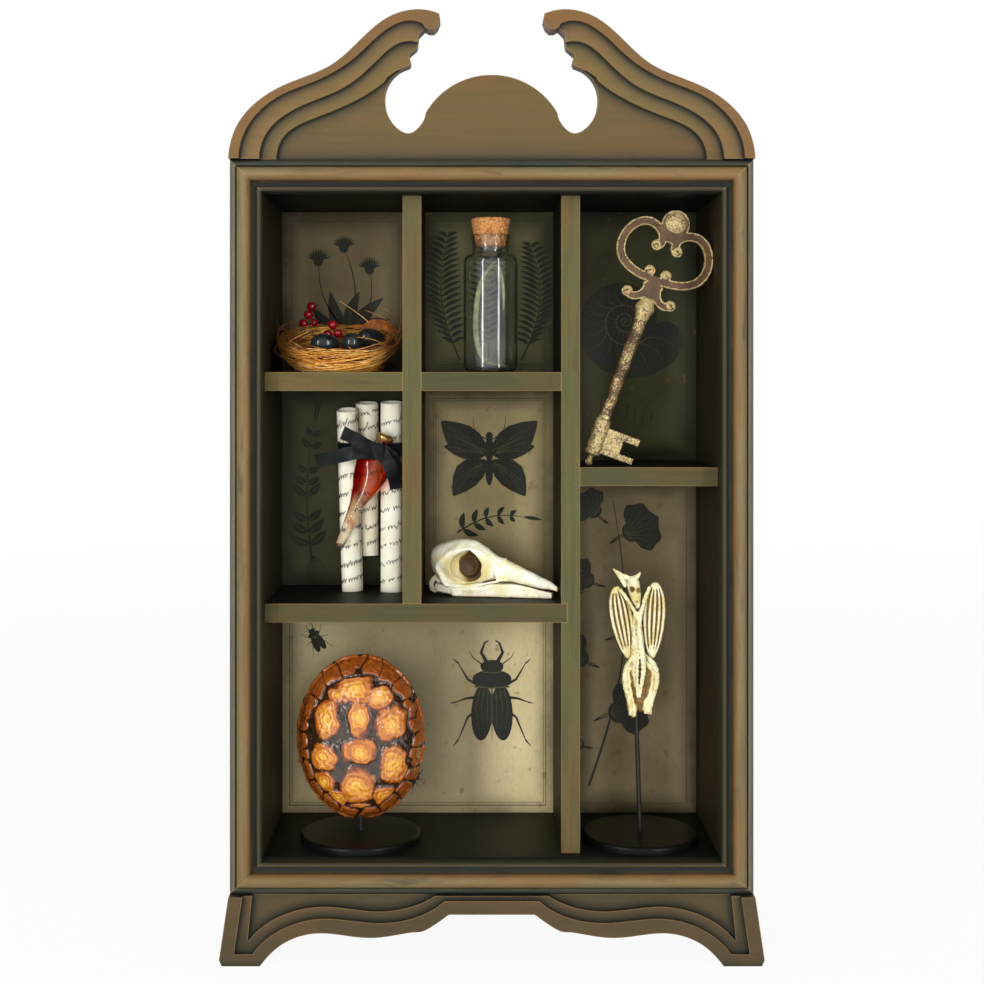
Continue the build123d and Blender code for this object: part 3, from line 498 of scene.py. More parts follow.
def tubes(paths, thickness, corners=1, steps=4, kind="NURBS"):
    # Round strands along lists of (x, y, z, width); width is a share of the thickness
    curve = bpy.data.curves.new("strands", "CURVE")
    curve.dimensions = "3D"
    curve.bevel_depth = thickness
    curve.bevel_resolution = corners
    curve.use_fill_caps = True
    curve.resolution_u = steps
    for path in paths:
        spline = curve.splines.new(kind)
        spline.points.add(len(path) - 1)
        for point, (x, y, z, width) in zip(spline.points, path):
            point.co = (x, y, z, 1)
            point.radius = width
        if kind == "NURBS":
            spline.order_u = min(4, len(path))
            spline.use_endpoint_u = True
    holder = bpy.data.objects.new("strands", curve)
    mesh = bpy.data.meshes.new_from_object(holder)
    bpy.data.objects.remove(holder)
    bpy.data.curves.remove(curve)
    return mesh


def take(lump, mesh):
    lump.from_mesh(mesh)
    bpy.data.meshes.remove(mesh)


def strung(paths, thickness, corners, steps):
    lump = bmesh.new()
    take(lump, tubes(paths, thickness, corners, steps))
    return lump


def cadCopy(name):
    # A merged copy of a CAD node, in mm, to sculpt on
    lump = bmesh.new()
    lump.from_mesh(nodes[name].data)
    for layer in list(lump.loops.layers.uv):
        lump.loops.layers.uv.remove(layer)
    bmesh.ops.scale(lump, vec=(1 / mm, 1 / mm, 1 / mm), verts=lump.verts)
    bmesh.ops.remove_doubles(lump, verts=lump.verts, dist=0.01)
    return lump


def smoothed(lump, verts, rounds, factor=0.5):
    for _ in range(rounds):
        bmesh.ops.smooth_vert(lump, verts=verts, factor=factor, use_axis_x=True, use_axis_y=True,
                              use_axis_z=True)


def remeshed(lump, voxel, smooth=2):
    mesh = bpy.data.meshes.new("sculpt")
    lump.to_mesh(mesh)
    lump.free()
    holder = bpy.data.objects.new("sculpt", mesh)
    bpy.context.scene.collection.objects.link(holder)
    change = holder.modifiers.new("voxels", "REMESH")
    change.mode = "VOXEL"
    change.voxel_size = voxel
    result = bmesh.new()
    result.from_mesh(holder.evaluated_get(bpy.context.evaluated_depsgraph_get()).to_mesh())
    bpy.data.objects.remove(holder)
    bpy.data.meshes.remove(mesh)
    smoothed(result, result.verts, smooth)
    return result


def roughen(lump, size, depth, seed=0):
    # Moves each vertex along its normal by noise whose features are that size
    lump.normal_update()
    for vert in lump.verts:
        vert.co += vert.normal * (noise.noise(vert.co / size + Vector((seed, 0, 0))) * depth)


def setDown(lump, verts, turn, spot):
    # Turns those vertices about the origin, then carries them to the spot
    bmesh.ops.rotate(lump, cent=(0, 0, 0), matrix=turn, verts=verts)
    bmesh.ops.translate(lump, vec=spot, verts=verts)


def ballAt(lump, spot, halves, rings, steps):
    # A squashed ball; halves has its half sizes
    ball = bmesh.ops.create_uvsphere(lump, u_segments=rings, v_segments=steps, radius=1.0)["verts"]
    bmesh.ops.scale(lump, vec=halves, verts=ball)
    bmesh.ops.translate(lump, vec=spot, verts=ball)


def toward(angle):
    return Vector((math.cos(angle), math.sin(angle)))


def ease(value):
    value = min(1.0, max(0.0, value))
    return value * value * (3 - 2 * value)


def spun(outline, centre, steps=48):
    # A closed turned form from (radius, height) points, about a vertical axis
    lump = bmesh.new()
    ring = [lump.verts.new((centre[0] + r, centre[1], centre[2] + h)) for r, h in outline]
    edges = [lump.edges.new(pair) for pair in zip(ring, ring[1:])]
    bmesh.ops.spin(lump, geom=ring + edges, cent=centre, axis=(0, 0, 1), angle=2 * math.pi, steps=steps,
                   use_merge=True)
    bmesh.ops.remove_doubles(lump, verts=lump.verts, dist=0.001)
    return lump


# ---- Boards, mouldings and pediment stay CAD nodes with a finish each ----
def dress(material, *names):
    for name in names:
        mesh = nodes[name].data
        mesh.materials.clear()
        mesh.materials.append(material)


crestBands = ((6.2, (109, 96, 64)), (10.5, (117, 103, 70)), (13.0, (115, 87, 51)), (14.7, (84, 66, 42)),
              (15.7, (38, 41, 36)), (17.9, (33, 36, 31)), (19.0, (66, 58, 39)), (20.6, (44, 42, 30)))
railBands = ((0.0, (44, 47, 40)), (2.9, (42, 45, 38)), (3.8, (84, 80, 62)), (4.6, (66, 60, 44)),
             (5.2, (34, 35, 29)))
stileBands = ((0.0, (84, 82, 72)), (2.4, (88, 86, 76)), (3.2, (122, 110, 84)), (4.3, (104, 94, 70)),
              (5.0, (52, 50, 40)))
dress(mouldedWood("frameRails", "X", railBands + crestBands), "frame_rail_top", "frame_rail_bottom")
dress(mouldedWood("frameStiles", "Z", stileBands + crestBands), "frame_stile_left", "frame_stile_right")
# Colour of the painted shade at the foot of each pediment step
stepShadeTone = (60, 54, 38)
# Paint, the colour rubbed through it, then how much is rubbed, how dark the crevices get with dark wax and
# painted shade, how streaked, and the colour of any painted shade at the foot of each step
dress(plainWood("neckFront", "X", (106, 80, 46), (122, 82, 43), 0.5, 0.6, 0.14), "pediment_layer_front")
dress(plainWood("neckMiddle", "X", (110, 91, 53), (126, 86, 46), 0.6, 0.7, 0.14, stepShadeTone),
      "pediment_layer_middle")
dress(plainWood("neckBack", "X", (106, 89, 48), (118, 84, 44), 0.5, 0.7, 0.14, stepShadeTone),
      "pediment_layer_back")
dress(plainWood("pedimentField", "X", (93, 76, 42), (110, 75, 38), 0.6, 0.7, 0.14, stepShadeTone),
      "pediment_board")
dress(plainWood("plinthField", "X", (85, 73, 43), (96, 76, 44), 0.4, 0.6, 0.16, (40, 37, 26)),
      "plinth_panel")
dress(plainWood("plinthOuter", "X", (70, 60, 38), (98, 70, 40), 0.4, 0.6, 0.16), "plinth_band_outer")
dress(plainWood("plinthInner", "X", (84, 70, 44), (104, 78, 48), 0.4, 0.6, 0.16, (48, 43, 30)),
      "plinth_band_inner")
dress(plainWood("plinthSides", "Z", (84, 74, 52), (112, 84, 54), 0.5), "plinth_side_left",
      "plinth_side_right")
dress(plainWood("capBoards", "X", (84, 76, 54), (106, 82, 54), 0.5), "top_cap", "base_board")
dress(sideWood(), "case_side_left", "case_side_right")
# Painted shade: the case top and bottom, which are the ceilings and floors of the cells, are nearly black for
# the shade inside the cells
dress(darkWood("caseEnds"), "case_top", "case_bottom")
dress(cellWood("dividerWood", "Z", (86, 86, 54), (104, 79, 48)), "divider_left", "divider_right")
dress(cellWood("shelfWood", "X", (72, 72, 46), (88, 70, 41)), "shelf_middle", "shelf_right",
      "shelf_upper_centre")
dress(cellWood("upperShelfWood", "X", (84, 83, 50), (100, 80, 46)), "shelf_upper_left")
dress(darkWood("rearTimber", (58, 50, 38)), "pediment_cleat", "plinth_back_rail", "plinth_glue_blocks")
dress(hardboard(), "back_panel")
# Painted shade: each card's tones follow the light in its cell, darker where the cell lies in shade and paler
# where light reaches in
cards = {
    "plate_top_left": ((108, 97, 70), (88, 76, 52)),
    "plate_top_centre": ((104, 101, 67), (84, 80, 52)),
    "plate_top_right": ((66, 67, 42), (51, 51, 30)),
    "plate_middle_left": ((74, 73, 50), (58, 56, 38)),
    "plate_middle_centre": ((164, 150, 108), (136, 122, 82)),
    # Painted shadow of the shell on the bottom left card
    "plate_bottom_left": ((228, 212, 164), (206, 188, 138),  # Darkest beside the shell, pale at the right
                          ((0.06, 0.76), (0.3, 0.42), (0.5, 0.36), (0.64, 0.5), (0.8, 1.0))),
    "plate_bottom_right": ((130, 117, 86), (107, 94, 66)),
}
for cardName, looks in cards.items():
    dress(agedCard("card" + cardName, cardName, *looks), cardName)
lacquer = shine("blackLacquer", ((0.3, (8, 9, 7)), (0.7, (14, 15, 12))), 60, 0.34, 0.0, 0.00003,
                gloss=0.2)
dress(lacquer, "shell_disc", "bat_disc")
dress(shine("blackWire", ((0.3, (20, 20, 19)), (0.7, (30, 30, 28))), 200, 0.4), "shell_post", "bat_post")
print("cabinet: boards dressed")


# ---- Printed motifs: thin flat ink shapes on the cards ----
inkPrint = {"face": 57.5, "lift": 0.05, "thickness": 0.1, "layer": 0.012, "proud": 0.25}


class Plate:
    # Collects the ink shapes of one card; coordinates are (x, z) in mm
    def __init__(self):
        self.lump = bmesh.new()
        self.veins = bmesh.new()
        self.count = 0

    def flat(self, faces, pale=False):
        back = inkPrint["face"] - inkPrint["lift"]
        depth = inkPrint["proud"] if pale else inkPrint["thickness"] + inkPrint["layer"] * (self.count % 9)
        self.count += 1
        lump = self.veins if pale else self.lump
        for vert in {v for face in faces for v in face.verts}:
            vert.co.y = back
        raised = bmesh.ops.extrude_face_region(lump, geom=faces, use_keep_orig=True)
        moving = [v for v in raised["geom"] if isinstance(v, bmesh.types.BMVert)]
        bmesh.ops.translate(lump, verts=moving, vec=(0, -depth, 0))

    def blot(self, centre, halfWidth, halfHeight, turn=0.0, sides=28, shape=None):
        # An oval, or with shape a form whose radius changes with the angle
        ring = bmesh.ops.create_circle(self.lump, cap_ends=True, segments=sides, radius=1.0)["verts"]
        cosine, sine = math.cos(turn), math.sin(turn)
        for vert in ring:
            angle = math.atan2(vert.co.y, vert.co.x)
            reach = shape(angle) if shape else 1.0
            across, up = math.cos(angle) * halfWidth * reach, math.sin(angle) * halfHeight * reach
            vert.co = (centre[0] + across * cosine - up * sine, 0, centre[1] + across * sine + up * cosine)
        self.flat(list({face for vert in ring for face in vert.link_faces}))

    def leaf(self, foot, tip, width, bend=0.0):
        # A pointed leaf from foot to tip
        way = Vector((tip[0] - foot[0], tip[1] - foot[1]))
        length = way.length
        side = Vector((-way.y, way.x)) / length
        ring = bmesh.ops.create_circle(self.lump, cap_ends=True, segments=14, radius=1.0)["verts"]
        for vert in ring:
            share = (vert.co.x + 1) / 2
            swell = math.sin(math.pi * share) ** 0.8 * (1.15 - 0.45 * share)
            away = math.copysign(swell, vert.co.y) * width / 2 if abs(vert.co.y) > 1e-6 else 0.0
            away += bend * math.sin(math.pi * share)
            spot = Vector(foot) + way * share + side * away
            vert.co = (spot.x, 0, spot.y)
        self.flat(list({face for vert in ring for face in vert.link_faces}))
        if width > 4:  # A pale midrib
            self.stroke(arc(foot, tuple(Vector(tip) - way * 0.08), bend / length, 8), 0.5, pale=True)

    def stroke(self, points, width, taper=True, pale=False):
        # A line that thins toward its end
        lump = self.veins if pale else self.lump
        verts = []
        for place, (x, z) in enumerate(points):
            before = Vector(points[max(0, place - 1)])
            after = Vector(points[min(len(points) - 1, place + 1)])
            way = (after - before).normalized()
            half = width / 2 * ((1 - 0.75 * place / (len(points) - 1)) if taper else 1.0)
            verts.append([lump.verts.new((x - way.y * half * s, 0, z + way.x * half * s)) for s in (-1, 1)])
        self.flat([lump.faces.new((a[0], a[1], b[1], b[0])) for a, b in zip(verts, verts[1:])], pale)

    def border(self, node, inset, width):
        low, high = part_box(node)
        left, right = low.x / mm + inset, high.x / mm - inset
        bottom, top = low.z / mm + inset, high.z / mm - inset
        for corners in (((left, bottom), (right, bottom)), ((right, bottom), (right, top)),
                        ((right, top), (left, top)), ((left, top), (left, bottom))):
            self.stroke(corners, width, taper=False)

    def finish(self, name):
        addPiece(name, self.lump, inkFinish, "cabinet")
        if self.veins.verts:
            addPiece(name + "Veins", self.veins, paleInk, "cabinet")
        else:
            self.veins.free()


def arc(start, end, bulge, count=12):
    # Points on a bowed line between two spots
    way = Vector((end[0] - start[0], end[1] - start[1]))
    side = Vector((-way.y, way.x))
    return [tuple(Vector(start) + way * (i / count) + side * (bulge * math.sin(math.pi * i / count)))
            for i in range(count + 1)]


def sprig(plate, foot, tip, bulge, pairs, leafLength, width, chance):
    # A stem with paired leaves that get smaller toward the tip
    stem = arc(foot, tip, bulge)
    plate.stroke(stem, 1.3)
    for i in range(pairs):
        spot = stem[1 + int(i * (len(stem) - 2) / pairs)]
        after = stem[min(len(stem) - 1, 2 + int(i * (len(stem) - 2) / pairs))]
        heading = math.atan2(after[1] - spot[1], after[0] - spot[0])
        size = leafLength * (1 - 0.55 * i / pairs) * chance.uniform(0.85, 1.1)
        for side in (-1, 1):
            lean = heading + side * chance.uniform(0.75, 1.05)
            end = (spot[0] + math.cos(lean) * size, spot[1] + math.sin(lean) * size)
            plate.leaf(spot, end, width * (1 - 0.4 * i / pairs), side * size * 0.08)
    plate.leaf(stem[-2], (2 * stem[-1][0] - stem[-3][0], 2 * stem[-1][1] - stem[-3][1]), width * 0.6)


inkFinish = ink()
paleInk = shine("paleInk", ((0.3, (58, 56, 40)), (0.7, (86, 82, 60))), 300, 0.7)
chance = random.Random(11)

plate = Plate()  # Seed heads over a clump of broad leaves
plate.border("plate_top_left", 7.0, 0.35)
for tip, bulge in (((-127, 478), 0.12), ((-108, 488), -0.1), ((-89, 472), -0.16)):
    plate.stroke(arc((-104, 424), tip, bulge), 1.5)
    for step in range(11):
        lean = math.radians(20 + step * 14)
        plate.leaf(tip, (tip[0] + math.cos(lean) * 9.5, tip[1] + math.sin(lean) * 9.5), 1.7)
    plate.blot(tip, 3.6, 4.2)
for lean, size in ((25, 34), (50, 40), (78, 36), (112, 38), (140, 36), (160, 30)):
    turn = math.radians(lean)
    plate.leaf((-104, 420), (-104 + math.cos(turn) * size, 420 + math.sin(turn) * size), 11, 3)
plate.finish("inkSeedHeads")

plate = Plate()  # Fern fronds
plate.border("plate_top_centre", 6.5, 0.35)
for foot, tip, bulge in (((-22, 404), (-30, 500), 0.1), ((24, 404), (30, 492), -0.12),
                         ((0, 404), (8, 506), 0.05)):
    stem = arc(foot, tip, bulge, 22)
    plate.stroke(stem, 1.2)
    for i, spot in enumerate(stem[3:-1]):
        size = 15.0 * math.sin(math.pi * (i + 4) / 25) ** 0.7
        for side in (-1, 1):
            plate.leaf(spot, (spot[0] + side * size, spot[1] + size * 0.5), 3.1, side * 1.0)
plate.finish("inkFerns")

plate = Plate()  # Spiral shell
plate.border("plate_top_right", 7.0, 0.35)
centre = Vector((101.0, 433.0))
for i in range(46):
    share = i / 45
    turn = 2.9 * math.tau * share
    reach = 3.0 * math.exp(2.35 * share)
    spot = centre + toward(turn) * reach
    plate.blot(tuple(spot), 0.74 * reach * 0.62 + 1.2, 0.74 * reach * 0.8 + 1.2, turn, 18)
for i in range(40):  # Chamber walls across the outer turns
    share = 0.3 + 0.7 * i / 39
    turn = 2.9 * math.tau * share
    reach = 3.0 * math.exp(2.35 * share)
    near, far = toward(turn) * reach * 0.66, toward(turn + 0.16) * reach * 1.3
    plate.stroke(arc(tuple(centre + near), tuple(centre + far), 0.12, 6), 0.5, pale=True)
coil = [(2.9 * math.tau * i / 89, 3.0 * math.exp(2.35 * i / 89)) for i in range(90)]
plate.stroke([tuple(centre + toward(turn) * reach * 0.64) for turn, reach in coil], 0.9, taper=False,
             pale=True)
for i in range(7):
    plate.stroke(arc((84 + i * 6.0, 362 - i * 0.6), (92 + i * 6.5, 384 - i * 2.0), 0.2), 1.0)
plate.finish("inkShell")

plate = Plate()  # A tall leaf sprig with its roots
plate.border("plate_middle_left", 7.0, 0.35)
sprig(plate, (-132, 258), (-128, 366), 0.05, 8, 17, 7, chance)
for i in range(5):
    plate.stroke(arc((-132, 259), (-142 + i * 5, 247 + chance.uniform(-2, 2)), 0.15, 6), 0.8)
plate.finish("inkSprig")

plate = Plate()  # Moth
plate.border("plate_middle_centre", 6.0, 0.35)
plate.border("plate_middle_centre", 7.6, 0.25)
for side in (-1, 1):
    plate.leaf((side * 2, 337), (side * 36, 359), 25, -side * 3)
    plate.leaf((side * 2, 330), (side * 27, 303), 22, side * 3)
    plate.leaf((side * 2, 334), (side * 34, 340), 16, side * 1)
    plate.stroke(arc((side * 1.2, 345), (side * 12, 362), side * -0.2), 0.9)
    for reach, rise in ((33, 356), (35, 350), (34, 344), (30, 336), (26, 312), (24, 305), (18, 303)):
        root = (side * 3, 334 if rise > 330 else 329)
        plate.stroke(arc(root, (side * reach, rise), side * 0.05, 8), 0.55, pale=True)
    plate.blot((side * 19, 349), 2.6, 2.2)
plate.blot((0, 338), 3.4, 9)
plate.blot((0, 322), 2.9, 11)
plate.blot((0, 348), 2.6, 2.8)
sprig(plate, (-24, 276), (30, 287), 0.12, 5, 12, 5, chance)
plate.finish("inkMoth")

plate = Plate()  # Beetle seen from above, and two small ones
plate.border("plate_bottom_left", 5.5, 0.5)
plate.border("plate_bottom_left", 7.4, 0.3)


def beetle(centre, size, turn):
    spin = Matrix.Rotation(turn, 2)

    def at(x, z):
        return tuple(Vector(centre) + spin @ (Vector((x, z)) * size))

    for side in (-1, 1):
        for z, out, drop in ((12, 25, 17), (4, 27, -4), (-4, 25, -24)):
            knee = at(side * out * 0.72, z + drop * 0.3)
            plate.stroke([at(side * 9, z), knee, at(side * out, z + drop)], 2.6 * size)
            plate.stroke([at(side * out, z + drop), at(side * (out + 4), z + drop * 1.2)], 1.4 * size)
        plate.stroke([at(side * 3.5, 29), at(side * 8, 37), at(side * 5.5, 44), at(side * 2.5, 46)],
                     3.0 * size)
        plate.stroke([at(side * 6, 27), at(side * 14, 33), at(side * 17, 38)], 1.1 * size)
        plate.blot(at(side * 7.4, -7.5), 8.0 * size, 21 * size, turn + side * 0.05)
        for line in (3.4, 7.4, 11.2):
            rib = [at(side * line * 0.8, 9), at(side * line * 1.08, -4), at(side * line * 0.9, -20)]
            plate.stroke(rib, 0.8 * size, pale=True)
    plate.blot(at(0, 17.5), 14.5 * size, 6.6 * size, turn)
    plate.blot(at(0, 26.5), 8.6 * size, 5.0 * size, turn)
    plate.stroke([at(0, 11.5), at(0, -28)], 1.3 * size, pale=True)
    plate.stroke([at(-13, 11.6), at(0, 10.6), at(13, 11.6)], 1.2 * size, taper=False, pale=True)
    plate.stroke([at(-7, 22.6), at(0, 21.8), at(7, 22.6)], 0.9 * size, taper=False, pale=True)


beetle((2, 150), 1.0, 0.0)
beetle((-128, 196), 0.3, 0.5)
beetle((-58, 92), 0.26, -0.7)
plate.finish("inkBeetles")

plate = Plate()  # Fan leaves on a long twig
plate.border("plate_bottom_right", 7.0, 0.35)
plate.stroke(arc((74, 88), (92, 300), -0.08, 20), 1.8)


def fanLeaf(foot, heading, size):
    tip = Vector(foot) + toward(heading) * size * 0.5
    plate.stroke(arc(foot, tuple(tip), 0.1, 6), 1.2)

    def lobes(angle):
        lift = max(0.0, math.cos(angle))
        return 0.28 + 0.86 * lift ** 0.55 * (1 - 0.16 * abs(math.sin(5.5 * angle)))

    plate.blot(tuple(tip), size * 0.62, size * 0.78, heading, 48, lobes)
    for i in range(9):
        lean = heading + (i - 4) * 0.3
        plate.stroke([foot, tuple(Vector(foot).lerp(tip, 0.7)), tuple(tip + toward(lean) * size * 0.56)],
                     0.7, pale=True)


for foot, heading, size in (((88, 283), 2.4, 26), ((90, 268), 0.5, 34), ((86, 236), 2.8, 27),
                            ((86, 196), 0.15, 30), ((82, 176), 2.7, 30), ((78, 136), 0.35, 36),
                            ((77, 116), 2.9, 22)):
    fanLeaf(foot, heading, size)
plate.finish("inkFanLeaves")
print("cabinet: prints inked")


# ---- Nest: straw woven round a bowl, stray ends, a dried leaf, eggs and berries ----
nest = {
    "centre": Vector((-106.95, 4.0, 394.3)), "tilt": math.radians(11), "wraps": 250, "rim": 60, "lining": 120,
    "strays": 96, "thickness": 0.4, "floor": 394.9, "halfCell": 45.4, "card": 52.0, "frontDip": 5.5,
}
egg = {"halfLength": 10.4, "halfWidth": 7.3, "blunter": 0.14}
berry = {"radius": 3.35, "dimple": 0.9, "dimpleRadius": 1.4}
outerWall = ((-3.6, 23.0), (2.0, 30.0), (9.0, 35.0), (16.0, 39.5), (23.0, 42.3), (26.5, 40.5))
innerWall = ((9.0, 15.0), (13.5, 27.0), (18.0, 32.0), (24.0, 37.0))


def wallRadius(wall, height):
    if height <= wall[0][0]:
        return wall[0][1]
    for (lowHeight, lowRadius), (highHeight, highRadius) in zip(wall, wall[1:]):
        if height <= highHeight:
            return lowRadius + (highRadius - lowRadius) * (height - lowHeight) / (highHeight - lowHeight)
    return wall[-1][1]


def nestPoint(radius, angle, height, width=1.0):
    dip = nest["frontDip"] * max(0.0, -math.sin(angle))  # The front rim is pressed down
    height -= dip * ease((height - 4) / 14)
    up = Vector((0, -math.sin(nest["tilt"]), math.cos(nest["tilt"])))
    away = Vector((0, math.cos(nest["tilt"]), math.sin(nest["tilt"])))
    across = Vector((math.cos(angle) * radius, 0, 0))
    spot = nest["centre"] + across + away * (math.sin(angle) * radius) + up * height
    side = spot.x - nest["centre"].x
    spot.x = nest["centre"].x + max(-nest["halfCell"], min(nest["halfCell"], side))
    return (spot.x, min(spot.y, nest["card"]), max(nest["floor"], spot.z), width)


def wallStrand(wall, lowest, highest, drift, loose):
    start = chance.uniform(0, math.tau)
    span = math.radians(chance.uniform(34, 100)) * chance.choice((-1, 1))
    height = chance.uniform(lowest, highest)
    rise = chance.uniform(-drift, drift)
    bow = chance.uniform(-3.4, 3.4)
    width = chance.uniform(0.6, 1.45)
    off = chance.uniform(-loose, loose)
    path = []
    for i in range(6):
        share = i / 5
        level = height + rise * (share - 0.5) + bow * math.sin(math.pi * share)
        path.append(nestPoint(wallRadius(wall, level) + off + chance.uniform(-0.7, 0.7), start + span * share,
                              level, width * (0.55 if i in (0, 5) else 1.0)))
    return path


strands = [wallStrand(outerWall, -3.4, 24.0, 13.0, 1.6) for _ in range(nest["wraps"])]
strands += [wallStrand(outerWall, 20.5, 27.0, 7.0, 2.6) for _ in range(nest["rim"])]
strands += [wallStrand(innerWall, 9.5, 24.0, 9.0, 1.2) for _ in range(nest["lining"])]
for i in range(nest["strays"]):  # Loose ends that spring from the rim, mostly at the two sides
    angle = chance.choice((math.pi, math.pi * 0.86, math.pi * 1.16, 0.0, 0.5, -0.35)) + chance.gauss(0, 0.36)
    turn = chance.uniform(0.3, 1.3) * chance.choice((-1, 1))
    height = chance.uniform(8, 24)
    lift = chance.choice((chance.uniform(1, 9), chance.uniform(8, 24)))
    out = chance.uniform(0, 7)
    droop = chance.uniform(0, 6)
    path = []
    for k in range(6):
        share = k / 5
        radius = wallRadius(outerWall, height) - 1.5 + out * math.sin(math.pi * share * 0.8)
        path.append(nestPoint(radius, angle + turn * share, height + lift * share - droop * share ** 3,
                              0.95 - 0.5 * share))
    strands.append(path)
straws = strung(strands, nest["thickness"], 0, 2)
profile = [(0, -3.0), (20.5, -3.0), (32.5, 9.0), (39.4, 22.0), (38.0, 23.4), (36.4, 22.0), (28.5, 13.0),
           (14, 7.6), (0, 7.6)]
core = spun(profile, (0, 0, 0), 56)  # A darker bowl under the straw, so that no light shows through; its dark brown is painted shade deep between the strands
roughen(core, 5.0, 1.6)
setDown(core, core.verts, Matrix.Rotation(nest["tilt"], 3, "X"), nest["centre"])
for vert in core.verts:
    vert.co.z = max(nest["floor"], vert.co.z)
addPiece("nestCore", core, shine("strawCore", ((0.3, (64, 30, 12)), (0.7, (150, 82, 30))), 240, 0.85,
                                 bumpDepth=0.0012), "nest_group", sharp=60)
addPiece("nestStraw", straws, straw(), "nest_group", ["nest"])

dryLeaf = bmesh.new()  # A curled brown leaf caught in the straw at the back
bmesh.ops.create_grid(dryLeaf, x_segments=16, y_segments=6, size=1.0)
for vert in dryLeaf.verts:
    share, across = (vert.co.x + 1) / 2, vert.co.y
    width = 4.6 * math.sin(math.pi * min(1.0, share * 0.97 + 0.02)) ** 0.7
    curl = noise.noise(Vector((share * 5, across * 2, 4))) * 1.4
    vert.co = Vector((-94.0 + share * 28.0, 25.0 + across * across * 2.2 + curl + 3.0 * share,
                      426.5 + across * width + 3.4 * math.sin(share * 3.4) - 2.0 * share + curl * 0.5))
bmesh.ops.solidify(dryLeaf, geom=dryLeaf.faces, thickness=0.3)
driedBrown = ((0.3, (84, 42, 18)), (0.5, (150, 84, 30)), (0.75, (196, 128, 52)))
addPiece("nestLeaf", dryLeaf, shine("dryLeaf", driedBrown, 130, 0.6, bumpDepth=0.0006), "nest_group")

eggPlaces = ((-9.0, -8.0, 20.0, 12), (11.0, -16.0, 20.4, 80), (22.5, 1.0, 24.0, 30))
eggs = bmesh.new()
for x, y, rise, turn in eggPlaces:
    shell = bmesh.ops.create_uvsphere(eggs, u_segments=40, v_segments=26, radius=1.0)["verts"]
    for vert in shell:  # One end blunter than the other
        share = vert.co.z
        width, blunt = egg["halfWidth"], 1.0 - egg["blunter"] * share
        vert.co = Vector((share * egg["halfLength"], vert.co.x * width * blunt, vert.co.y * width * blunt))
    setDown(eggs, shell, Matrix.Rotation(math.radians(turn), 3, "Z"), nest["centre"] + Vector((x, y, rise)))
eggFinish = shine("eggGlaze", ((0.3, (16, 19, 20)), (0.55, (40, 45, 46)), (0.75, (13, 16, 17))), 170,
                  0.24, 0.6, 0.00005)
addPiece("nestEggs", eggs, eggFinish, "nest_group", ["nest_eggs"])
berryPlaces = ((-28.0, 26.0, 35.8), (-20.8, 28.0, 36.4), (-24.4, 24.5, 42.2), (-22.5, 28.0, 48.4),
               (-9.0, 9.0, 27.4), (-1.8, 10.5, 28.2), (-5.4, 8.5, 34.2))
berries = bmesh.new()
stems = []
for x, y, rise in berryPlaces:
    middle = nest["centre"] + Vector((x, y, rise))
    ball = bmesh.ops.create_uvsphere(berries, u_segments=24, v_segments=16, radius=berry["radius"])["verts"]
    for vert in ball:  # A dimple where the stem goes in
        dip = berry["dimple"] * ease(1 - math.hypot(vert.co.x, vert.co.y) / berry["dimpleRadius"])
        vert.co.z -= dip * (1 if vert.co.z > 0 else -0.4)
    setDown(berries, ball, Matrix.Rotation(chance.uniform(-0.9, 0.9), 3, "X"), middle)
    foot = nest["centre"] + Vector((x * 0.8, y * 0.75 + 3, 12))
    stems.append([(*middle, 1.0), (*((middle + foot) / 2 + Vector((2, 1, 2))), 0.9), (*foot, 0.8)])
addPiece("nestBerries", berries, shine("berrySkin", ((0.3, (150, 10, 22)), (0.7, (104, 4, 16))), 160,
                                       0.2, 0.5, 0.0001), "nest_group", ["nest_berries"])
stalkFinish = shine("stalks", ((0.3, (70, 44, 24)), (0.7, (112, 78, 40))), 300, 0.7)
addPiece("berryStalks", strung(stems, 0.45, 1, 5), stalkFinish, "nest_group")
print("cabinet: nest woven")


# ---- Vial, cork and curled feather ----
vial = {"x": 0.0, "y": -7.5, "floor": 394.5, "radius": 19.0, "wall": 1.3}
centre = (vial["x"], vial["y"], vial["floor"])
inner = vial["radius"] - vial["wall"]
outline = [(0, 1.6), (8, 1.1), (15.5, 1.4), (17.0, 2.6), (inner, 5.0), (inner, 76.6), (inner - 0.5, 78.8),
           (15.9, 80.4), (13.4, 81.4), (11.9, 82.6), (11.4, 84.6), (10.5, 88.4), (11.75, 95.4),
           (12.7, 95.9), (13.7, 95.4), (14.0, 94.4), (13.7, 93.2), (13.0, 92.4), (12.9, 85.0), (13.0, 83.6),
           (14.2, 82.6), (16.8, 81.6), (18.5, 79.8), (19.0, 77.4), (19.0, 3.4), (18.5, 1.2), (17.2, 0.1),
           (14, 0.0), (10, 0.6), (0, 0.8)]
glass = spun(outline, centre, 72)
addPiece("vialGlass", glass, clearGlass(), "vial", ["vial_glass"], sharp=50)

corkLow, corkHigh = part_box("cork")
bottom, top = corkLow.z / mm, corkHigh.z / mm
stopper = spun([(0, bottom), (10.0, bottom), (10.3, bottom + 0.4), (11.65, bottom + 6.9), (13.9, top - 0.7),
                (13.5, top - 0.1), (0, top - 0.1)], (vial["x"], vial["y"], 0), 64)
bmesh.ops.subdivide_edges(stopper, edges=stopper.edges, cuts=2, use_grid_fill=True)
for vert in stopper.verts:  # Pits and crumbled edges on the part that stands out of the neck
    if vert.co.z > bottom + 7.6:
        away = Vector((vert.co.x - vial["x"], vert.co.y - vial["y"], 0))
        pit = noise.noise(vert.co * 0.55) + 0.6 * noise.noise(vert.co * 1.3)
        if away.length > 4:
            vert.co -= away.normalized() * max(0.0, pit) * 0.75
        if vert.co.z > top - 0.5:
            vert.co.z -= max(0.0, pit) * 0.5
addPiece("corkStopper", stopper, corkGrain(), "cork_stopper", ["cork"])

